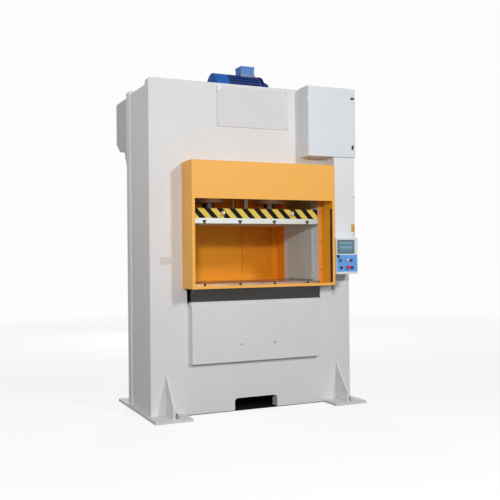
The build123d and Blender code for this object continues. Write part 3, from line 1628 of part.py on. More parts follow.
# Pipes of the power unit: two to the cylinders, one from the pump, suction and return
manifold_front = -manifold_half_depth
with BuildPart() as oil_pipes:
    pipe(
        (
            (left_pipe_x, manifold_front, pipe_level),
            (left_pipe_x, -cylinder_port_y, pipe_level),
            (-cylinder_x, -cylinder_port_y, pipe_level),
            (-cylinder_x, -cylinder_port_y, barrel_top),
        ),
        pipe_radius,
        pipe_bend,
    )
    pipe(
        (
            (right_pipe_x, manifold_front, pipe_level),
            (right_pipe_x, right_pipe_y, pipe_level),
            (cylinder_x, right_pipe_y, pipe_level),
            (cylinder_x, -cylinder_port_y, pipe_level),
            (cylinder_x, -cylinder_port_y, barrel_top),
        ),
        pipe_radius,
        pipe_bend,
    )
    pipe(
        (
            (pump_port_x, port_boss, pump_port_z),
            (pump_port_x, pressure_pipe_y, pump_port_z),
            (pressure_pipe_x, pressure_pipe_y, pump_port_z),
            (pressure_pipe_x, manifold_half_depth, pump_port_z),
        ),
        pipe_radius,
        pipe_bend,
    )
    pipe(
        (
            (pump_right, 0, motor_axis_z),
            (suction_x, 0, motor_axis_z),
            (suction_x, suction_y, motor_axis_z),
            (suction_x, suction_y, tank_top),
        ),
        suction_radius,
        suction_bend,
    )
    pipe(
        (
            (manifold_left, 0, pipe_level),
            (return_x, 0, pipe_level),
            (return_x, 0, return_level),
            (return_x, suction_y, return_level),
            (return_x, suction_y, tank_top),
        ),
        pipe_radius,
        pipe_bend,
    )
oil_pipes.part.label = "oil_pipes"
export_step(oil_pipes.part, "parts/oil_pipes.step")
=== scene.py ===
"""Dresses the hydraulic press with its paints, metals and trim, and sets it in a plain studio."""

import math

import bmesh
import bpy
from bpy.props import FloatProperty, FloatVectorProperty, PointerProperty
from mathutils import Matrix, Vector


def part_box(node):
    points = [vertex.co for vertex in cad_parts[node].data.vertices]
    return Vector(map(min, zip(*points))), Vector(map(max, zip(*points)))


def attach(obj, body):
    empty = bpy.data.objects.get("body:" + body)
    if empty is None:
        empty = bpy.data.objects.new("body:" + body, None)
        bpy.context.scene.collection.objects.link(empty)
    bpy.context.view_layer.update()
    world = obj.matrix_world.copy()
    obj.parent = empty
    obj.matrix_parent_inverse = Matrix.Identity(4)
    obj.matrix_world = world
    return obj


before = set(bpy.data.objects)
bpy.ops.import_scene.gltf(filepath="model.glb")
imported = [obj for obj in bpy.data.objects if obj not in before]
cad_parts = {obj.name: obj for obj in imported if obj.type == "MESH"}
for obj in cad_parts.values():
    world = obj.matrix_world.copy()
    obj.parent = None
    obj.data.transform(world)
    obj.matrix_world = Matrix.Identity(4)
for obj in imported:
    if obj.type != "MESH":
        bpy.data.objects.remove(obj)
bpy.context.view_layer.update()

bl_info = {
    "name": "Hydraulic Press",
    "version": (1, 0, 0),
    "blender": (4, 5, 0),
    "location": "3D View > Sidebar > Press",
    "description": "Finishes, trim and studio of an upright hydraulic press",
    "category": "Object",
}

# A surface looks to the front where its normal has a Y below this
FACES_FRONT = -0.9
# Most values of a noise lie between these two
NOISE_SPAN = {"From Min": 0.3, "From Max": 0.7}


def linear(hex_code):
    """Turns an sRGB colour such as E4E3E0 into the linear colour that Blender works in."""
    channels = [int(hex_code[i : i + 2], 16) / 255 for i in (0, 2, 4)]
    return [c / 12.92 if c <= 0.04045 else ((c + 0.055) / 1.055) ** 2.4 for c in channels]


def colour(name, description, hex_code):
    """A colour that the user can change."""
    return FloatVectorProperty(
        name=name, description=description, subtype="COLOR", size=3, min=0, max=1,
        default=linear(hex_code),
    )


def length(name, description, default):
    """A length in metres that the user can change."""
    return FloatProperty(
        name=name, description=description, subtype="DISTANCE", unit="LENGTH", min=0,
        default=default,
    )


def angle(name, description, degrees):
    """An angle that the user can change."""
    return FloatProperty(
        name=name, description=description, subtype="ANGLE", default=math.radians(degrees)
    )


def power(name, description, default):
    """The power of a lamp in watts that the user can change."""
    return FloatProperty(name=name, description=description, subtype="POWER", default=default)


def share(name, description, default):
    """A share from 0 to 1 that the user can change."""
    return FloatProperty(
        name=name, description=description, subtype="FACTOR", min=0, max=1, default=default
    )


class PressColours(bpy.types.PropertyGroup):
    """Colours of the paints, plastics and metals."""

    frame_paint: colour("Frame paint", "Two-pack paint on the plates of the frame", "E6E6E7")
    # Painted shade: the tank's grey is darker than the frame's, for a tank that stands further back
    # in less light
    tank_shaded_paint: colour("Tank paint", "Two-pack paint on the oil tank", "C2C1BF")
    cabinet_paint: colour("Cabinet coating", "Coating of the cabinet and control box", "E5EBF1")
    column_paint: colour("Column coating", "Powder coating of the wiring column", "ECEEF0")
    guard_paint: colour("Guard paint", "Orange paint on the outside of the hood", "FEBB58")
    # Painted bounce light: the deeper orange inside the hood stands for light that bounces between
    # its orange walls
    guard_bounce_orange: colour("Guard inside", "Deeper orange, painted bounce light, inside the hood", "FDAE2A")
    # Orange paint, partly painted bounce light: deeper, like the inside of the hood, for light
    # bounced between the guards
    rear_guard_paint_and_bounce: colour("Rear guard paint", "Orange paint on the rear guard", "FAA522")
    # Painted shade: the second door is a darker copy of the rear guard's orange, for a leaf that
    # lies in less light
    rear_leaf_shade_colour: colour("Rear leaf paint", "Darker orange of its second door", "F49D1C")
    stripe_yellow: colour("Stripe yellow", "Yellow of the ram's front", "F0D560")
    stripe_black: colour("Stripe black", "Black stripes on the ram's front", "0C0C0C")
    power_blue: colour("Fan cover enamel", "Blue enamel of the motor's fan cover", "2C6CCB")
    # Painted shade: the housing's blue is darker than the fan cover's, for its shaded fins
    housing_shaded_blue: colour("Housing enamel", "Darker enamel of the finned housing", "1C3D80")
    pump_blue: colour("Pump enamel", "Dark enamel of the bell housing and pump", "17357E")
    terminal_blue: colour("Terminal box enamel", "Paler enamel of the terminal box", "6C99DC")
    legend_blue: colour("Legend blue", "Coated plate behind the operators", "6AAAF0")
    sign: colour("Sign plate", "Bare face of the sign plate", "DEDEDF")
    data_plate: colour("Data plate", "Small bare plate on the left of the frame", "D3D2CD")
    column_plate: colour("Column plate", "Small bare plate on the wiring column", "D3A04C")
    screen: colour("Screen", "Switched-on display of the touch panel", "5E8A9E")
    readings: colour("Readings", "Paler rows on the display", "CEDDE2")
    bezel: colour("Panel bezel", "Bezel of the touch panel", "5E7078")


class PressSizes(bpy.types.PropertyGroup):
    """Sizes of the trim and of the patterns."""

    stripe_pitch: length("Stripe pitch", "From one black stripe to the next", 0.1231)
    stripe_start: length("Stripe start", "How far left of the centre a yellow stripe starts", 0.594)
    stripe_slant: share("Stripe slant", "How far a stripe leans for its height", 0.93)
    stripe_share: share("Yellow share", "How much of a pitch is yellow", 0.52)
    peel: length("Orange peel", "Size of the dimples in paint, coarser than real to show", 0.005)
    grind: length("Grinding lines", "Spacing of the lines in ground steel", 0.0025)
    streak_width: length("Guide streaks", "Width of the upright streaks on the guides", 0.045)
    ground_edge: length("Ground edge", "Height of the bright band on top of the bolster", 0.021)


class PressStage(bpy.types.PropertyGroup):
    """Camera, lights and floor."""

    camera_place: FloatVectorProperty(
        name="Camera", description="Place of the camera", subtype="TRANSLATION", unit="LENGTH",
        default=(-2.9881, -6.7947, 1.4558),
    )
    camera_yaw: angle("Yaw", "Turn to the right from looking to the rear", 24.534)
    camera_pitch: angle("Pitch", "Tilt above the horizon", 0.204)
    camera_roll: angle("Roll", "Lean of the picture", -0.558)
    camera_lens: FloatProperty(
        name="Lens", description="Focal length", subtype="DISTANCE_CAMERA", default=54.73
    )
    low_key_power: power("Low key", "Lamp in front of the press, at the left", 213.84)
    high_key_power: power("High key", "Lamp in front of the press, high at the right", 198)
    fill_power: power("Fill light", "Softbox high at the left", 18)
    hood_power: power("Hood glow", "Weak light that stands for what bounces into the hood", 1.5)
    back_power: power("Back light", "Softbox behind the press", 150)
    room_light: share("Room light", "Strength of the even light", 0.19)
    backdrop: share("Backdrop", "Brightness of the backdrop that the camera sees", 0.975)
    # Painted shade: under the press the floor is nearly black
    covered_shade_tone: share("Covered floor", "Light that the floor under the press gives back", 0.02)
    floor_tone: share("Open floor", "Extra light that the open floor gives back", 0.24)
    near_glow: share("Near floor", "Brightness of the floor near the press", 0.78)
    far_glow: share("Far floor", "Brightness of the floor far from the press", 0.93)


def add_node(tree, kind, inputs=None, **settings):
    """Adds a node, with its settings and with values or links for its sockets."""
    made = tree.nodes.new(kind)
    for name, value in settings.items():
        setattr(made, name, value)
    for name, value in (inputs or {}).items():
        if isinstance(value, bpy.types.NodeSocket):
            tree.links.new(value, made.inputs[name])
        else:
            made.inputs[name].default_value = value
    return made


def start_finish(name, base, roughness, metallic=0.0, specular=0.5):
    """Makes a material and returns it with its tree, its shader and its object coordinates."""
    material = bpy.data.materials.new(name)
    material.use_nodes = True
    tree = material.node_tree
    tree.nodes.clear()
    shader = add_node(tree, "ShaderNodeBsdfPrincipled")
    shader.inputs["Base Color"].default_value = (*base, 1)
    shader.inputs["Roughness"].default_value = roughness
    shader.inputs["Metallic"].default_value = metallic
    shader.inputs["Specular IOR Level"].default_value = specular
    output = add_node(tree, "ShaderNodeOutputMaterial")
    tree.links.new(shader.outputs["BSDF"], output.inputs["Surface"])
    place = add_node(tree, "ShaderNodeTexCoord").outputs["Object"]
    return material, tree, shader, place


def mottle(tree, pattern, base, shade):
    """The base colour, mixed by a pattern with a darker shade of itself."""
    tone = add_node(
        tree, "ShaderNodeMix",
        {"Factor": pattern, "A": (*[c * shade for c in base], 1), "B": (*base, 1)},
        data_type="RGBA",
    )
    return tone.outputs["Result"]


def direction(tree):
    """The way that the surface faces, as three values."""
    normal = add_node(tree, "ShaderNodeNewGeometry").outputs["Normal"]
    return add_node(tree, "ShaderNodeSeparateXYZ", {"Vector": normal}).outputs


def two_pack_paint(name, base, peel, shade=0.9, roughness=0.48, specular=0.3, inside=None):
    """Two-pack paint sprayed on steel plate: soft sheen, faint orange peel, slight unevenness.

    Where an inside colour is given, it shows on the side walls that face the middle of the piece,
    as painted bounce light: a deeper colour for the light that bounces between those walls.
    """
    material, tree, shader, place = start_finish(name, base, roughness, specular=specular)
    # Metres: uneven patches of the spray, waves in the sheet and the depth of these
    patch, wave, depth = 0.454545, 0.333333, 0.004
    clouds = add_node(
        tree, "ShaderNodeTexNoise",
        {"Vector": place, "Scale": 1 / patch, "Detail": 4.0, "Roughness": 0.55},
    )
    paint = mottle(tree, clouds.outputs["Fac"], base, shade)
    # Painted bounce light: walls that face the middle get the deeper inside colour
    if inside:
        # On a wall that faces the middle, place and normal have opposite signs
        across = add_node(tree, "ShaderNodeSeparateXYZ", {"Vector": place})
        outward = add_node(
            tree, "ShaderNodeMath", {0: across.outputs["X"], 1: direction(tree)["X"]},
            operation="MULTIPLY",
        )
        inner = add_node(
            tree, "ShaderNodeMath", {0: outward.outputs[0], 1: -0.1}, operation="LESS_THAN"
        )
        painted_bounce = add_node(
            tree, "ShaderNodeMix", {"Factor": inner.outputs[0], "A": paint, "B": (*inside, 1)},
            data_type="RGBA",
        )
        paint = painted_bounce.outputs["Result"]
    tree.links.new(paint, shader.inputs["Base Color"])
    dimples = add_node(
        tree, "ShaderNodeTexNoise", {"Vector": place, "Scale": 1 / peel, "Detail": 2.0}
    )
    waves = add_node(
        tree, "ShaderNodeTexNoise", {"Vector": place, "Scale": 1 / wave, "Detail": 1.0}
    )
    relief = add_node(
        tree, "ShaderNodeBump",
        {"Height": dimples.outputs["Fac"], "Strength": 0.06, "Distance": peel / 4},
    )
    sheet = add_node(
        tree, "ShaderNodeBump",
        {"Height": waves.outputs["Fac"], "Strength": 0.15, "Distance": depth,
         "Normal": relief.outputs["Normal"]},
    )
    tree.links.new(sheet.outputs["Normal"], shader.inputs["Normal"])
    return material


def powder_coat(name, base, grain=0.003, patch=0.25):
    """Powder coating on sheet steel: matt, with a fine even texture and faint wide patches."""
    material, tree, shader, place = start_finish(name, base, 0.5, specular=0.3)
    clouds = add_node(
        tree, "ShaderNodeTexNoise", {"Vector": place, "Scale": 1 / patch, "Detail": 3.0}
    )
    tree.links.new(mottle(tree, clouds.outputs["Fac"], base, 0.95), shader.inputs["Base Color"])
    texture = add_node(
        tree, "ShaderNodeTexNoise", {"Vector": place, "Scale": 1 / grain, "Detail": 3.0}
    )
    relief = add_node(
        tree, "ShaderNodeBump",
        {"Height": texture.outputs["Fac"], "Strength": 0.12, "Distance": grain / 4},
    )
    tree.links.new(relief.outputs["Normal"], shader.inputs["Normal"])
    return material


def ground_steel(name, base, spacing, stretch, roughness, streak=0.75, metallic=1.0, band=None):
    """Ground steel: fine parallel lines from the wheel, that draw the highlights out.

    A lower metallic value stands for the dull film of oil on a slideway. A band is a level and
    the lighter colour of the steel that is ground above it.
    """
    material, tree, shader, place = start_finish(name, base, roughness, metallic)
    lay = add_node(tree, "ShaderNodeMapping", {"Vector": place, "Scale": stretch})
    lines = add_node(
        tree, "ShaderNodeTexNoise",
        {"Vector": lay.outputs["Vector"], "Scale": 1 / spacing, "Detail": 4.0, "Roughness": 0.6},
    )
    # Metres: stains of oil that change the gloss
    stain = 0.2
    clouds = add_node(
        tree, "ShaderNodeTexNoise", {"Vector": place, "Scale": 1 / stain, "Detail": 5.0}
    )
    steel = mottle(tree, lines.outputs["Fac"], base, streak)
    if band:
        level, bright = band
        height = add_node(tree, "ShaderNodeSeparateXYZ", {"Vector": place})
        above = add_node(
            tree, "ShaderNodeMath", {0: height.outputs["Z"], 1: level}, operation="GREATER_THAN"
        )
        ground = add_node(
            tree, "ShaderNodeMix", {"Factor": above.outputs[0], "A": steel, "B": (*bright, 1)},
            data_type="RGBA",
        )
        steel = ground.outputs["Result"]
    tree.links.new(steel, shader.inputs["Base Color"])
    gloss = add_node(
        tree, "ShaderNodeMapRange",
        {"Value": clouds.outputs["Fac"], **NOISE_SPAN, "To Min": roughness - 0.06,
         "To Max": roughness + 0.1},
    )
    tree.links.new(gloss.outputs["Result"], shader.inputs["Roughness"])
    relief = add_node(
        tree, "ShaderNodeBump",
        {"Height": lines.outputs["Fac"], "Strength": 0.25, "Distance": spacing / 6},
    )
    tree.links.new(relief.outputs["Normal"], shader.inputs["Normal"])
    return material


def turned_metal(name, base, roughness, metallic=1.0, smear=0.033333):
    """Turned or rolled metal: even, with small smears that change its gloss a little.

    A low metallic value stands for a thin coat of primer or oil that dulls the metal.
    """
    material, tree, shader, place = start_finish(name, base, roughness, metallic)
    clouds = add_node(
        tree, "ShaderNodeTexNoise", {"Vector": place, "Scale": 1 / smear, "Detail": 4.0}
    )
    gloss = add_node(
        tree, "ShaderNodeMapRange",
        {"Value": clouds.outputs["Fac"], **NOISE_SPAN, "To Min": roughness * 0.7,
         "To Max": roughness * 1.3},
    )
    tree.links.new(gloss.outputs["Result"], shader.inputs["Roughness"])
    return material


def moulded_plastic(name, base, roughness=0.4, grain=0.0012):
    """Moulded thermoplastic: fine spark-eroded grain, soft highlights."""
    material, tree, shader, place = start_finish(name, base, roughness)
    texture = add_node(
        tree, "ShaderNodeTexNoise", {"Vector": place, "Scale": 1 / grain, "Detail": 2.0}
    )
    relief = add_node(
        tree, "ShaderNodeBump",
        {"Height": texture.outputs["Fac"], "Strength": 0.15, "Distance": grain / 4},
    )
    tree.links.new(relief.outputs["Normal"], shader.inputs["Normal"])
    return material


def striped_paint(name, colours, sizes, top):
    """Yellow paint with black warning bands across the front face, and plain yellow elsewhere."""
    yellow, black = colours.stripe_yellow, colours.stripe_black
    material, tree, shader, place = start_finish(name, yellow, 0.5, specular=0.1)
    axes = add_node(tree, "ShaderNodeSeparateXYZ", {"Vector": place})
    offset = sizes.stripe_start - sizes.stripe_slant * top
    fall = add_node(
        tree, "ShaderNodeMath", {0: axes.outputs["Z"], 1: sizes.stripe_slant, 2: offset},
        operation="MULTIPLY_ADD",
    )
    run = add_node(
        tree, "ShaderNodeMath", {0: axes.outputs["X"], 1: fall.outputs[0]}, operation="ADD"
    )
    turns = add_node(
        tree, "ShaderNodeMath", {0: run.outputs[0], 1: sizes.stripe_pitch}, operation="DIVIDE"
    )
    phase = add_node(tree, "ShaderNodeMath", {0: turns.outputs[0]}, operation="FRACT")
    band = add_node(
        tree, "ShaderNodeMath", {0: phase.outputs[0], 1: sizes.stripe_share},
        operation="GREATER_THAN",
    )
    front = add_node(
        tree, "ShaderNodeMath", {0: direction(tree)["Y"], 1: FACES_FRONT}, operation="LESS_THAN"
    )
    mask = add_node(
        tree, "ShaderNodeMath", {0: band.outputs[0], 1: front.outputs[0]}, operation="MULTIPLY"
    )
    # Metres: scuffs that dull the yellow
    scuff = 0.016667
    wear = add_node(
        tree, "ShaderNodeTexNoise",
        {"Vector": place, "Scale": 1 / scuff, "Detail": 5.0, "Roughness": 0.7},
    )
    worn = mottle(tree, wear.outputs["Fac"], yellow, 0.85)
    paint = add_node(
        tree, "ShaderNodeMix", {"Factor": mask.outputs[0], "A": worn, "B": (*black, 1)},
        data_type="RGBA",
    )
    tree.links.new(paint.outputs["Result"], shader.inputs["Base Color"])
    return material


def display_glass(name, base, readings, row_pitch):
    """Front glass of a switched-on display: smooth, with soft paler rows of readings behind it."""
    material, tree, shader, place = start_finish(name, base, 0.3)
    height = add_node(tree, "ShaderNodeSeparateXYZ", {"Vector": place})
    turn = add_node(
        tree, "ShaderNodeMath", {0: height.outputs["Z"], 1: 2 * math.pi / row_pitch},
        operation="MULTIPLY",
    )
    wave = add_node(tree, "ShaderNodeMath", {0: turn.outputs[0]}, operation="SINE")
    # Where a row begins and is full on the wave, and how strong it gets
    begins, full, strongest = -0.2, 0.9, 0.3
    row = add_node(
        tree, "ShaderNodeMapRange",
        {"Value": wave.outputs[0], "From Min": begins, "From Max": full, "To Min": 0.0,
         "To Max": strongest},
    )
    reading = add_node(
        tree, "ShaderNodeMix",
        {"Factor": row.outputs["Result"], "A": (*base, 1), "B": (*readings, 1)},
        data_type="RGBA",
    )
    tree.links.new(reading.outputs["Result"], shader.inputs["Base Color"])
    return material


def give(material, *nodes):
    """Puts a finish on every material slot of these CAD nodes."""
    for node in nodes:
        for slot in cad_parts[node].material_slots:
            slot.material = material


def begin_block(low, high):
    """Adds a block between two corners, applied to its place, and opens it in edit mode."""
    bpy.ops.object.select_all(action="DESELECT")
    centre = [(a + b) / 2 for a, b in zip(low, high)]
    bpy.ops.mesh.primitive_cube_add(size=1, location=centre)
    piece = bpy.context.object
    piece.scale = [b - a for a, b in zip(low, high)]
    bpy.ops.object.transform_apply(location=True, rotation=True, scale=True)
    bpy.ops.object.mode_set(mode="EDIT")
    bpy.ops.mesh.select_mode(type="FACE")
    bpy.ops.mesh.select_all(action="DESELECT")
    return piece


def pick_faces(piece, wanted):
    """Selects the faces whose normal passes the test, and nothing else."""
    bpy.ops.mesh.select_all(action="DESELECT")
    mesh = bmesh.from_edit_mesh(piece.data)
    for face in mesh.faces:
        if wanted(face.normal):
            face.select = True
    mesh.select_flush_mode()
    bmesh.update_edit_mesh(piece.data)


def finish_piece(piece, name, body, material, edge):
    """Rounds the edges of a piece, gives it its finish and sets it on its body."""
    bpy.ops.object.mode_set(mode="OBJECT")
    bevel = piece.modifiers.new("Edges", "BEVEL")
    bevel.width = edge
    bevel.segments = 2
    bevel.limit_method = "ANGLE"
    bpy.ops.object.modifier_apply(modifier=bevel.name)
    piece.name = name
    piece.data.name = name
    piece.data.materials.append(material)
    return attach(piece, body)


def bare_plate(name, low, high, body, material, rim, sunk=0.0004, edge=0.0005):
    """A bare plate that faces the front, its face a little below a narrow raised rim."""
    piece = begin_block(low, high)
    pick_faces(piece, lambda normal: normal.y < FACES_FRONT)
    bpy.ops.mesh.inset(thickness=rim, depth=0)
    bpy.ops.transform.translate(value=(0, sunk, 0))
    return finish_piece(piece, name, body, material, edge)


class PRESS_OT_frame_finish(bpy.types.Operator):
    """Paint the frame, the feet and the oil tank"""

    bl_idname = "press.frame_finish"
    bl_label = "Frame paint"

    def execute(self, context):
        colours, sizes = context.scene.press_colours, context.scene.press_sizes
        give(
            two_pack_paint("frame_two_pack_paint", colours.frame_paint, sizes.peel),
            "front_plate", "rear_plate", "side_plates", "inner_plates", "crown_floor",
            "crown_top", "bed_beam", "bed_cover", "left_foot", "right_foot",
        )
        # The tank's darker grey is painted shade
        give(two_pack_paint("tank_two_pack_paint", colours.tank_shaded_paint, sizes.peel), "oil_tank")
        # Zinc greys the small screws, black oxide darkens those of the cylinder flanges
        give(turned_metal("zinc_plated_screws", linear("96989B"), 0.5), "panel_screws")
        give(turned_metal("black_oxide_screws", linear("55585B"), 0.45), "flange_screws")
        give(
            turned_metal("dull_zinc_bolts", linear("9A9DA0"), 0.5),
            "cover_bolts", "levelling_screws",
        )
        return {"FINISHED"}


class PRESS_OT_guard_finish(bpy.types.Operator):
    """Paint the hood and the rear guard, and finish the light curtains"""

    bl_idname = "press.guard_finish"
    bl_label = "Guards"

    def execute(self, context):
        colours, peel = context.scene.press_colours, context.scene.press_sizes.peel
        # The hood's inner walls get painted bounce light, a deeper orange
        give(
            two_pack_paint(
                "hood_orange_paint", colours.guard_paint, peel, shade=0.95,
                inside=colours.guard_bounce_orange,
            ),
            "guard_hood",
        )
        # The rear guard's deeper orange is partly painted bounce light
        give(
            two_pack_paint(
                "rear_guard_orange_paint", colours.rear_guard_paint_and_bounce, peel, shade=0.93
            ),
            "rear_guard", "rear_door_left",
        )
        # Painted shade: the right leaf gets a darker copy of the rear guard's orange
        give(
            two_pack_paint("rear_leaf_orange_paint", colours.rear_leaf_shade_colour, peel, shade=0.93),
            "rear_door_right",
        )
        give(moulded_plastic("curtain_black_case", linear("26282A"), 0.35), "light_curtains")
        give(moulded_plastic("latch_black_nylon", linear("222426"), 0.45), "rear_door_latch")
        return {"FINISHED"}


class PRESS_OT_ram_finish(bpy.types.Operator):
    """Finish the ram, its guides and the two cylinders"""

    bl_idname = "press.ram_finish"
    bl_label = "Ram and cylinders"

    def execute(self, context):
        colours, sizes = context.scene.press_colours, context.scene.press_sizes
        ram_top, bolster_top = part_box("ram_body")[1].z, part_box("bolster_plate")[1].z
        along, upright = (0.02, 1, 1), (1, 1, 0.02)
        give(striped_paint("ram_striped_paint", colours, sizes, ram_top), "ram_body")
        # Grinding leaves the platen pale and hazy; the milled bolster is dark below its edge
        give(
            ground_steel(
                "platen_ground_steel", linear("C9CCC8"), sizes.grind, along, 0.5, metallic=0.8
            ),
            "ram_platen",
        )
        give(
            ground_steel(
                "bolster_milled_steel", linear("494847"), sizes.grind, along, 0.28,
                band=(bolster_top - sizes.ground_edge, linear("C9BCB4")),
            ),
            "bolster_plate",
        )
        # Soft upright streaks, lighter and darker, run along the guides
        give(
            ground_steel(
                "oiled_guide_steel", linear("E0F0F0"), sizes.streak_width, upright, 0.5, streak=0.5,
                metallic=0.15,
            ),
            "guide_rails", "guide_shoes",
        )
        give(
            ground_steel("bright_drawn_bars", linear("C4C0BC"), sizes.grind, upright, 0.35),
            "stroke_bars",
        )
        # Chrome shines through its oil. Barrels and glands are dull steel whose pale pinkish tone
        # is painted light and a painted reflection of the orange guards.
        give(turned_metal("oiled_chrome_rods", linear("7D7874"), 0.3), "piston_rods")
        give(
            turned_metal("primed_cylinder_steel", linear("DEC9C2"), 0.42, metallic=0.2),
            "cylinder_barrels",
        )
        give(
            turned_metal("primed_gland_steel", linear("F3E0DA"), 0.38, metallic=0.2),
            "cylinder_glands",
        )
        give(turned_metal("galvanised_eyebolts", linear("D4CFC4"), 0.4), "ram_eyebolts")
        return {"FINISHED"}


class PRESS_OT_power_finish(bpy.types.Operator):
    """Finish the power unit, the manifold and the pipes"""

    bl_idname = "press.power_finish"
    bl_label = "Power unit"

    def execute(self, context):
        colours, peel = context.scene.press_colours, context.scene.press_sizes.peel
        # The enamel is matt with dust, but glossy on the housing, whose fins catch the light. The
        # housing's darker blue is painted shade, for fins that lie in shade.
        dusty = {"shade": 0.85, "roughness": 0.55, "specular": 0.1}
        glossy = {"shade": 0.8, "roughness": 0.3, "specular": 0.6}
        give(
            two_pack_paint("fan_cover_enamel", colours.power_blue, peel, **dusty),
            "motor_fan_cover",
        )
        give(
            two_pack_paint("motor_housing_enamel", colours.housing_shaded_blue, peel, **glossy),
            "motor_housing",
        )
        give(
            two_pack_paint("pump_enamel", colours.pump_blue, peel, **dusty),
            "bell_housing", "pump",
        )
        give(
            two_pack_paint("terminal_box_enamel", colours.terminal_blue, peel, **dusty),
            "motor_terminal_box",
        )
        give(turned_metal("rotor_steel", linear("85878A"), 0.4), "motor_rotor")
        give(turned_metal("manifold_steel", linear("9C9EA1"), 0.38), "valve_manifold")
        give(turned_metal("zinc_plated_tube", linear("B9BAB7"), 0.3), "oil_pipes")
        give(moulded_plastic("filler_cap_nylon", linear("1F2123"), 0.5), "filler_cap")
        return {"FINISHED"}


class PRESS_OT_electrics_finish(bpy.types.Operator):
    """Finish the cabinet, the wiring column and the control box"""

    bl_idname = "press.electrics_finish"
    bl_label = "Electrics"

    def execute(self, context):
        colours = context.scene.press_colours
        give(
            powder_coat("cabinet_powder_coat", colours.cabinet_paint),
            "cabinet_body", "cabinet_door", "control_box", "control_box_door",
        )
        give(
            powder_coat("column_powder_coat", colours.column_paint),
            "wiring_column", "wiring_column_cover",
        )
        give(
            moulded_plastic("lock_black_zinc", linear("1B1C1E"), 0.35),
            "cabinet_lock_upper", "cabinet_lock_lower", "control_box_lock",
        )
        give(
            moulded_plastic("equipment_grey_plastic", linear("72767A"), 0.5), "cabinet_equipment"
        )
        give(moulded_plastic("panel_bezel_plastic", colours.bezel, 0.45), "touch_panel")
        give(powder_coat("sign_bare_coating", colours.sign), "sign_plate")
        return {"FINISHED"}


class PRESS_OT_operator_finish(bpy.types.Operator):
    """Finish the buttons, the selector and their plate"""

    bl_idname = "press.operator_finish"
    bl_label = "Operators"

    def execute(self, context):
        plate_blue = context.scene.press_colours.legend_blue
        give(powder_coat("operator_plate_blue", plate_blue, grain=0.001), "operator_plate")
        give(moulded_plastic("bezel_black_plastic", linear("24262A"), 0.3), "operator_bezels")
        finishes = {
            "start_button": "2B8C84",
            "stop_button": "B23350",
            "inch_button": "0F1745",
            "reset_button": "1C4B80",
            "emergency_stop": "D8405A",
            "mode_selector": "DDE4EE",
        }
        for node, hex_code in finishes.items():
            give(moulded_plastic(f"{node}_plastic", linear(hex_code), 0.28), node)
        return {"FINISHED"}


class PRESS_OT_plates(bpy.types.Operator):
    """Add the small bare plates on the frame and the wiring column"""

    bl_idname = "press.plates"
    bl_label = "Bare plates"

    def execute(self, context):
        colours = context.scene.press_colours
        thickness, rim = 0.0015, 0.003
        # The data plate sits on the frame, left of the hood
        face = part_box("front_plate")[0].y
        left, right, bottom, top = -0.923, -0.822, 1.357, 1.423
        bare_plate(
            "data_plate", (left, face - thickness, bottom), (right, face, top), "frame",
            powder_coat("data_plate_coating", colours.data_plate), rim,
        )
        # The column plate sits near the right edge of the column's cover
        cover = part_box("wiring_column_cover")
        face = cover[0].y
        left, right, bottom, top = cover[1].x - 0.041, cover[1].x - 0.004, 1.647, 1.721
        bare_plate(
            "column_plate", (left, face - thickness, bottom), (right, face, top), "frame",
            powder_coat("column_plate_coating", colours.column_plate), rim,
        )
        return {"FINISHED"}


class PRESS_OT_screen(bpy.types.Operator):
    """Add the display in the bezel of the touch panel"""

    bl_idname = "press.screen"
    bl_label = "Display"

    def execute(self, context):
        colours = context.scene.press_colours
        margin, recess, thickness, row_pitch = 0.02, 0.0015, 0.001, 0.045
        low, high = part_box("touch_panel")
        front = low.y + recess
        glass = display_glass("display_glass", colours.screen, colours.readings, row_pitch)
        bare_plate(
            "touch_panel_display", (low.x + margin, front - thickness, low.z + margin),
            (high.x - margin, front, high.z - margin), "box_leaf", glass,
            rim=0.002, sunk=0.0003,
        )
        return {"FINISHED"}


def rays_to_white(tree):
    """Gives 1 to rays from the camera, through glass and off glossy surfaces, for plain white."""
    ray = add_node(tree, "ShaderNodeLightPath").outputs
    direct = add_node(
        tree, "ShaderNodeMath", {0: ray["Is Camera Ray"], 1: ray["Is Transmission Ray"]},
        operation="MAXIMUM",
    )
    shown = add_node(
        tree, "ShaderNodeMath", {0: direct.outputs[0], 1: ray["Is Glossy Ray"]},
        operation="MAXIMUM",
    )
    return shown.outputs[0]


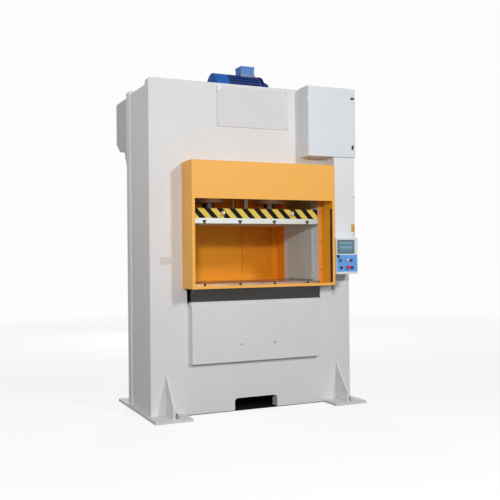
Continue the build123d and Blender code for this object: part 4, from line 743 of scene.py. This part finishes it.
class PRESS_OT_stage(bpy.types.Operator):
    """Set the floor, the lights and the camera"""

    bl_idname = "press.stage"
    bl_label = "Studio"

    # Name, place, target, side, setting of its power, and whether glossy surfaces reflect it
    lamps = (
        ("low_key_lamp", (-3.2, -6.9, 3.0), (0, -0.4, 1.7), 0.4, "low_key_power", True),
        ("high_key_lamp", (2.0, -7.2, 4.6), (0, -0.4, 1.7), 0.8, "high_key_power", True),
        ("fill_softbox", (-3.6, 0.2, 3.2), (-1.0, 0.1, 1.8), 1.2, "fill_power", True),
        ("hood_glow", (-0.6, -0.5, 1.3), (0.7, -0.5, 1.42), 0.2, "hood_power", False),
        ("back_softbox", (2.2, 6.6, 3.2), (0, 0.4, 1.7), 1.4, "back_power", True),
    )
    # Side of the floor, half sizes of its covered middle, where the floor is painted dark as
    # painted shade under the press, and distances where it brightens
    floor_side = 160
    footprint = (("X", 1.0), ("Y", 0.36))
    brighten_from, brighten_to = 3.0, 12.0
    # Width of a full frame sensor in millimetres
    sensor = 36

    def execute(self, context):
        scene, stage = context.scene, context.scene.press_stage
        scene.view_settings.view_transform = "Standard"
        self.lay_floor(stage)
        self.fill_room(scene, stage)
        for name, place, target, side, setting, reflected in self.lamps:
            lamp = self.hang_lamp(name, place, target, side, getattr(stage, setting))
            lamp.visible_glossy = reflected
        self.set_camera(scene, stage)
        return {"FINISHED"}

    def lay_floor(self, stage):
        """A wide floor that shows white to the camera and keeps a soft shadow of the press; under
        the press it is painted dark, as painted shade.
        """
        bpy.ops.object.select_all(action="DESELECT")
        bpy.ops.mesh.primitive_plane_add(size=self.floor_side, location=(0, 0, 0))
        floor = bpy.context.object
        floor.name = "studio_floor"
        material = bpy.data.materials.new("studio_floor_paint")
        material.use_nodes = True
        tree = material.node_tree
        tree.nodes.clear()
        place = add_node(tree, "ShaderNodeTexCoord").outputs["Object"]
        axes = add_node(tree, "ShaderNodeSeparateXYZ", {"Vector": place})
        outside = []
        for axis, reach in self.footprint:
            size = add_node(
                tree, "ShaderNodeMath", {0: axes.outputs[axis]}, operation="ABSOLUTE"
            )
            beyond = add_node(
                tree, "ShaderNodeMath", {0: size.outputs[0], 1: reach}, operation="GREATER_THAN"
            )
            outside.append(beyond.outputs[0])
        # Painted shade: under the press the floor is nearly black and shows no backdrop glow
        open_floor = add_node(
            tree, "ShaderNodeMath", {0: outside[0], 1: outside[1]}, operation="MAXIMUM"
        )
        tone = add_node(
            tree, "ShaderNodeMath",
            {0: open_floor.outputs[0], 1: stage.floor_tone, 2: stage.covered_shade_tone},
            operation="MULTIPLY_ADD",
        )
        dull = add_node(tree, "ShaderNodeBsdfDiffuse", {"Color": tone.outputs[0]})
        away = add_node(tree, "ShaderNodeVectorMath", {0: place}, operation="LENGTH")
        lift = add_node(
            tree, "ShaderNodeMapRange",
            {"Value": away.outputs["Value"], "From Min": self.brighten_from,
             "From Max": self.brighten_to, "To Min": stage.near_glow, "To Max": stage.far_glow},
        )
        glow = add_node(
            tree, "ShaderNodeMath", {0: open_floor.outputs[0], 1: lift.outputs["Result"]},
            operation="MULTIPLY",
        )
        pale = add_node(
            tree, "ShaderNodeEmission", {"Color": (1, 1, 1, 1), "Strength": glow.outputs[0]}
        )
        bright = add_node(tree, "ShaderNodeAddShader", {0: dull.outputs[0], 1: pale.outputs[0]})
        mix = add_node(
            tree, "ShaderNodeMixShader",
            {0: rays_to_white(tree), 1: dull.outputs[0], 2: bright.outputs[0]},
        )
        add_node(tree, "ShaderNodeOutputMaterial", {"Surface": mix.outputs[0]})
        floor.data.materials.append(material)

    def fill_room(self, scene, stage):
        """Even light from all round, and a white backdrop for the camera and for reflections."""
        scene.world = bpy.data.worlds.new("studio_room")
        scene.world.use_nodes = True
        tree = scene.world.node_tree
        tree.nodes.clear()
        room, white = (
            add_node(tree, "ShaderNodeBackground", {"Color": (1, 1, 1, 1), "Strength": strength})
            for strength in (stage.room_light, stage.backdrop)
        )
        mix = add_node(
            tree, "ShaderNodeMixShader",
            {0: rays_to_white(tree), 1: room.outputs[0], 2: white.outputs[0]},
        )
        add_node(tree, "ShaderNodeOutputWorld", {"Surface": mix.outputs[0]})

    def hang_lamp(self, name, place, target, side, watts):
        """A square soft light at a place, turned to a target, that the camera doesn't see."""
        light = bpy.data.lights.new(name, "AREA")
        light.shape = "SQUARE"
        light.size = side
        light.energy = watts
        lamp = bpy.data.objects.new(name, light)
        lamp.visible_camera = False
        lamp.location = place
        aim = Vector(target) - Vector(place)
        lamp.rotation_euler = aim.to_track_quat("-Z", "Y").to_euler()
        bpy.context.scene.collection.objects.link(lamp)
        return lamp

    def set_camera(self, scene, stage):
        """The camera at the eye level of a person who stands in front, at the left."""
        yaw, pitch, roll = stage.camera_yaw, stage.camera_pitch, stage.camera_roll
        ahead = Vector(
            (math.sin(yaw) * math.cos(pitch), math.cos(yaw) * math.cos(pitch), math.sin(pitch))
        )
        level = Vector((math.cos(yaw), -math.sin(yaw), 0))
        above = level.cross(ahead)
        right = math.cos(roll) * level + math.sin(roll) * above
        up = -math.sin(roll) * level + math.cos(roll) * above
        lens = bpy.data.cameras.new("eye_level_camera")
        lens.lens = stage.camera_lens
        lens.sensor_width = self.sensor
        camera = bpy.data.objects.new("eye_level_camera", lens)
        axes = Matrix((right, up, -ahead)).transposed().to_4x4()
        camera.matrix_world = Matrix.Translation(stage.camera_place) @ axes
        scene.collection.objects.link(camera)
        scene.camera = camera


STEPS = (
    PRESS_OT_frame_finish,
    PRESS_OT_guard_finish,
    PRESS_OT_ram_finish,
    PRESS_OT_power_finish,
    PRESS_OT_electrics_finish,
    PRESS_OT_operator_finish,
    PRESS_OT_plates,
    PRESS_OT_screen,
    PRESS_OT_stage,
)


class PRESS_PT_panel(bpy.types.Panel):
    """Lists the steps, and the colours, sizes and stage settings of the press."""

    bl_idname = "PRESS_PT_panel"
    bl_label = "Hydraulic press"
    bl_space_type = "VIEW_3D"
    bl_region_type = "UI"
    bl_category = "Press"

    def draw(self, context):
        scene = context.scene
        for step in STEPS:
            self.layout.operator(step.bl_idname)
        for group in (scene.press_colours, scene.press_sizes, scene.press_stage):
            column = self.layout.column(align=True)
            for name in group.__annotations__:
                column.prop(group, name)


GROUPS = (PressColours, PressSizes, PressStage)


def register():
    """Registers the settings, the operators and the panel."""
    for cls in (*GROUPS, *STEPS, PRESS_PT_panel):
        bpy.utils.register_class(cls)
    bpy.types.Scene.press_colours = PointerProperty(type=PressColours)
    bpy.types.Scene.press_sizes = PointerProperty(type=PressSizes)
    bpy.types.Scene.press_stage = PointerProperty(type=PressStage)


def unregister():
    """Takes the settings, the operators and the panel away again."""
    del bpy.types.Scene.press_stage
    del bpy.types.Scene.press_sizes
    del bpy.types.Scene.press_colours
    for cls in reversed((*GROUPS, *STEPS, PRESS_PT_panel)):
        bpy.utils.unregister_class(cls)


def run_step(step):
    """Calls an operator by its name."""
    family, name = step.bl_idname.split(".")
    getattr(getattr(bpy.ops, family), name)()


def main():
    """Dresses the press step by step."""
    register()
    for step in STEPS:
        run_step(step)


if __name__ == "__main__":
    main()
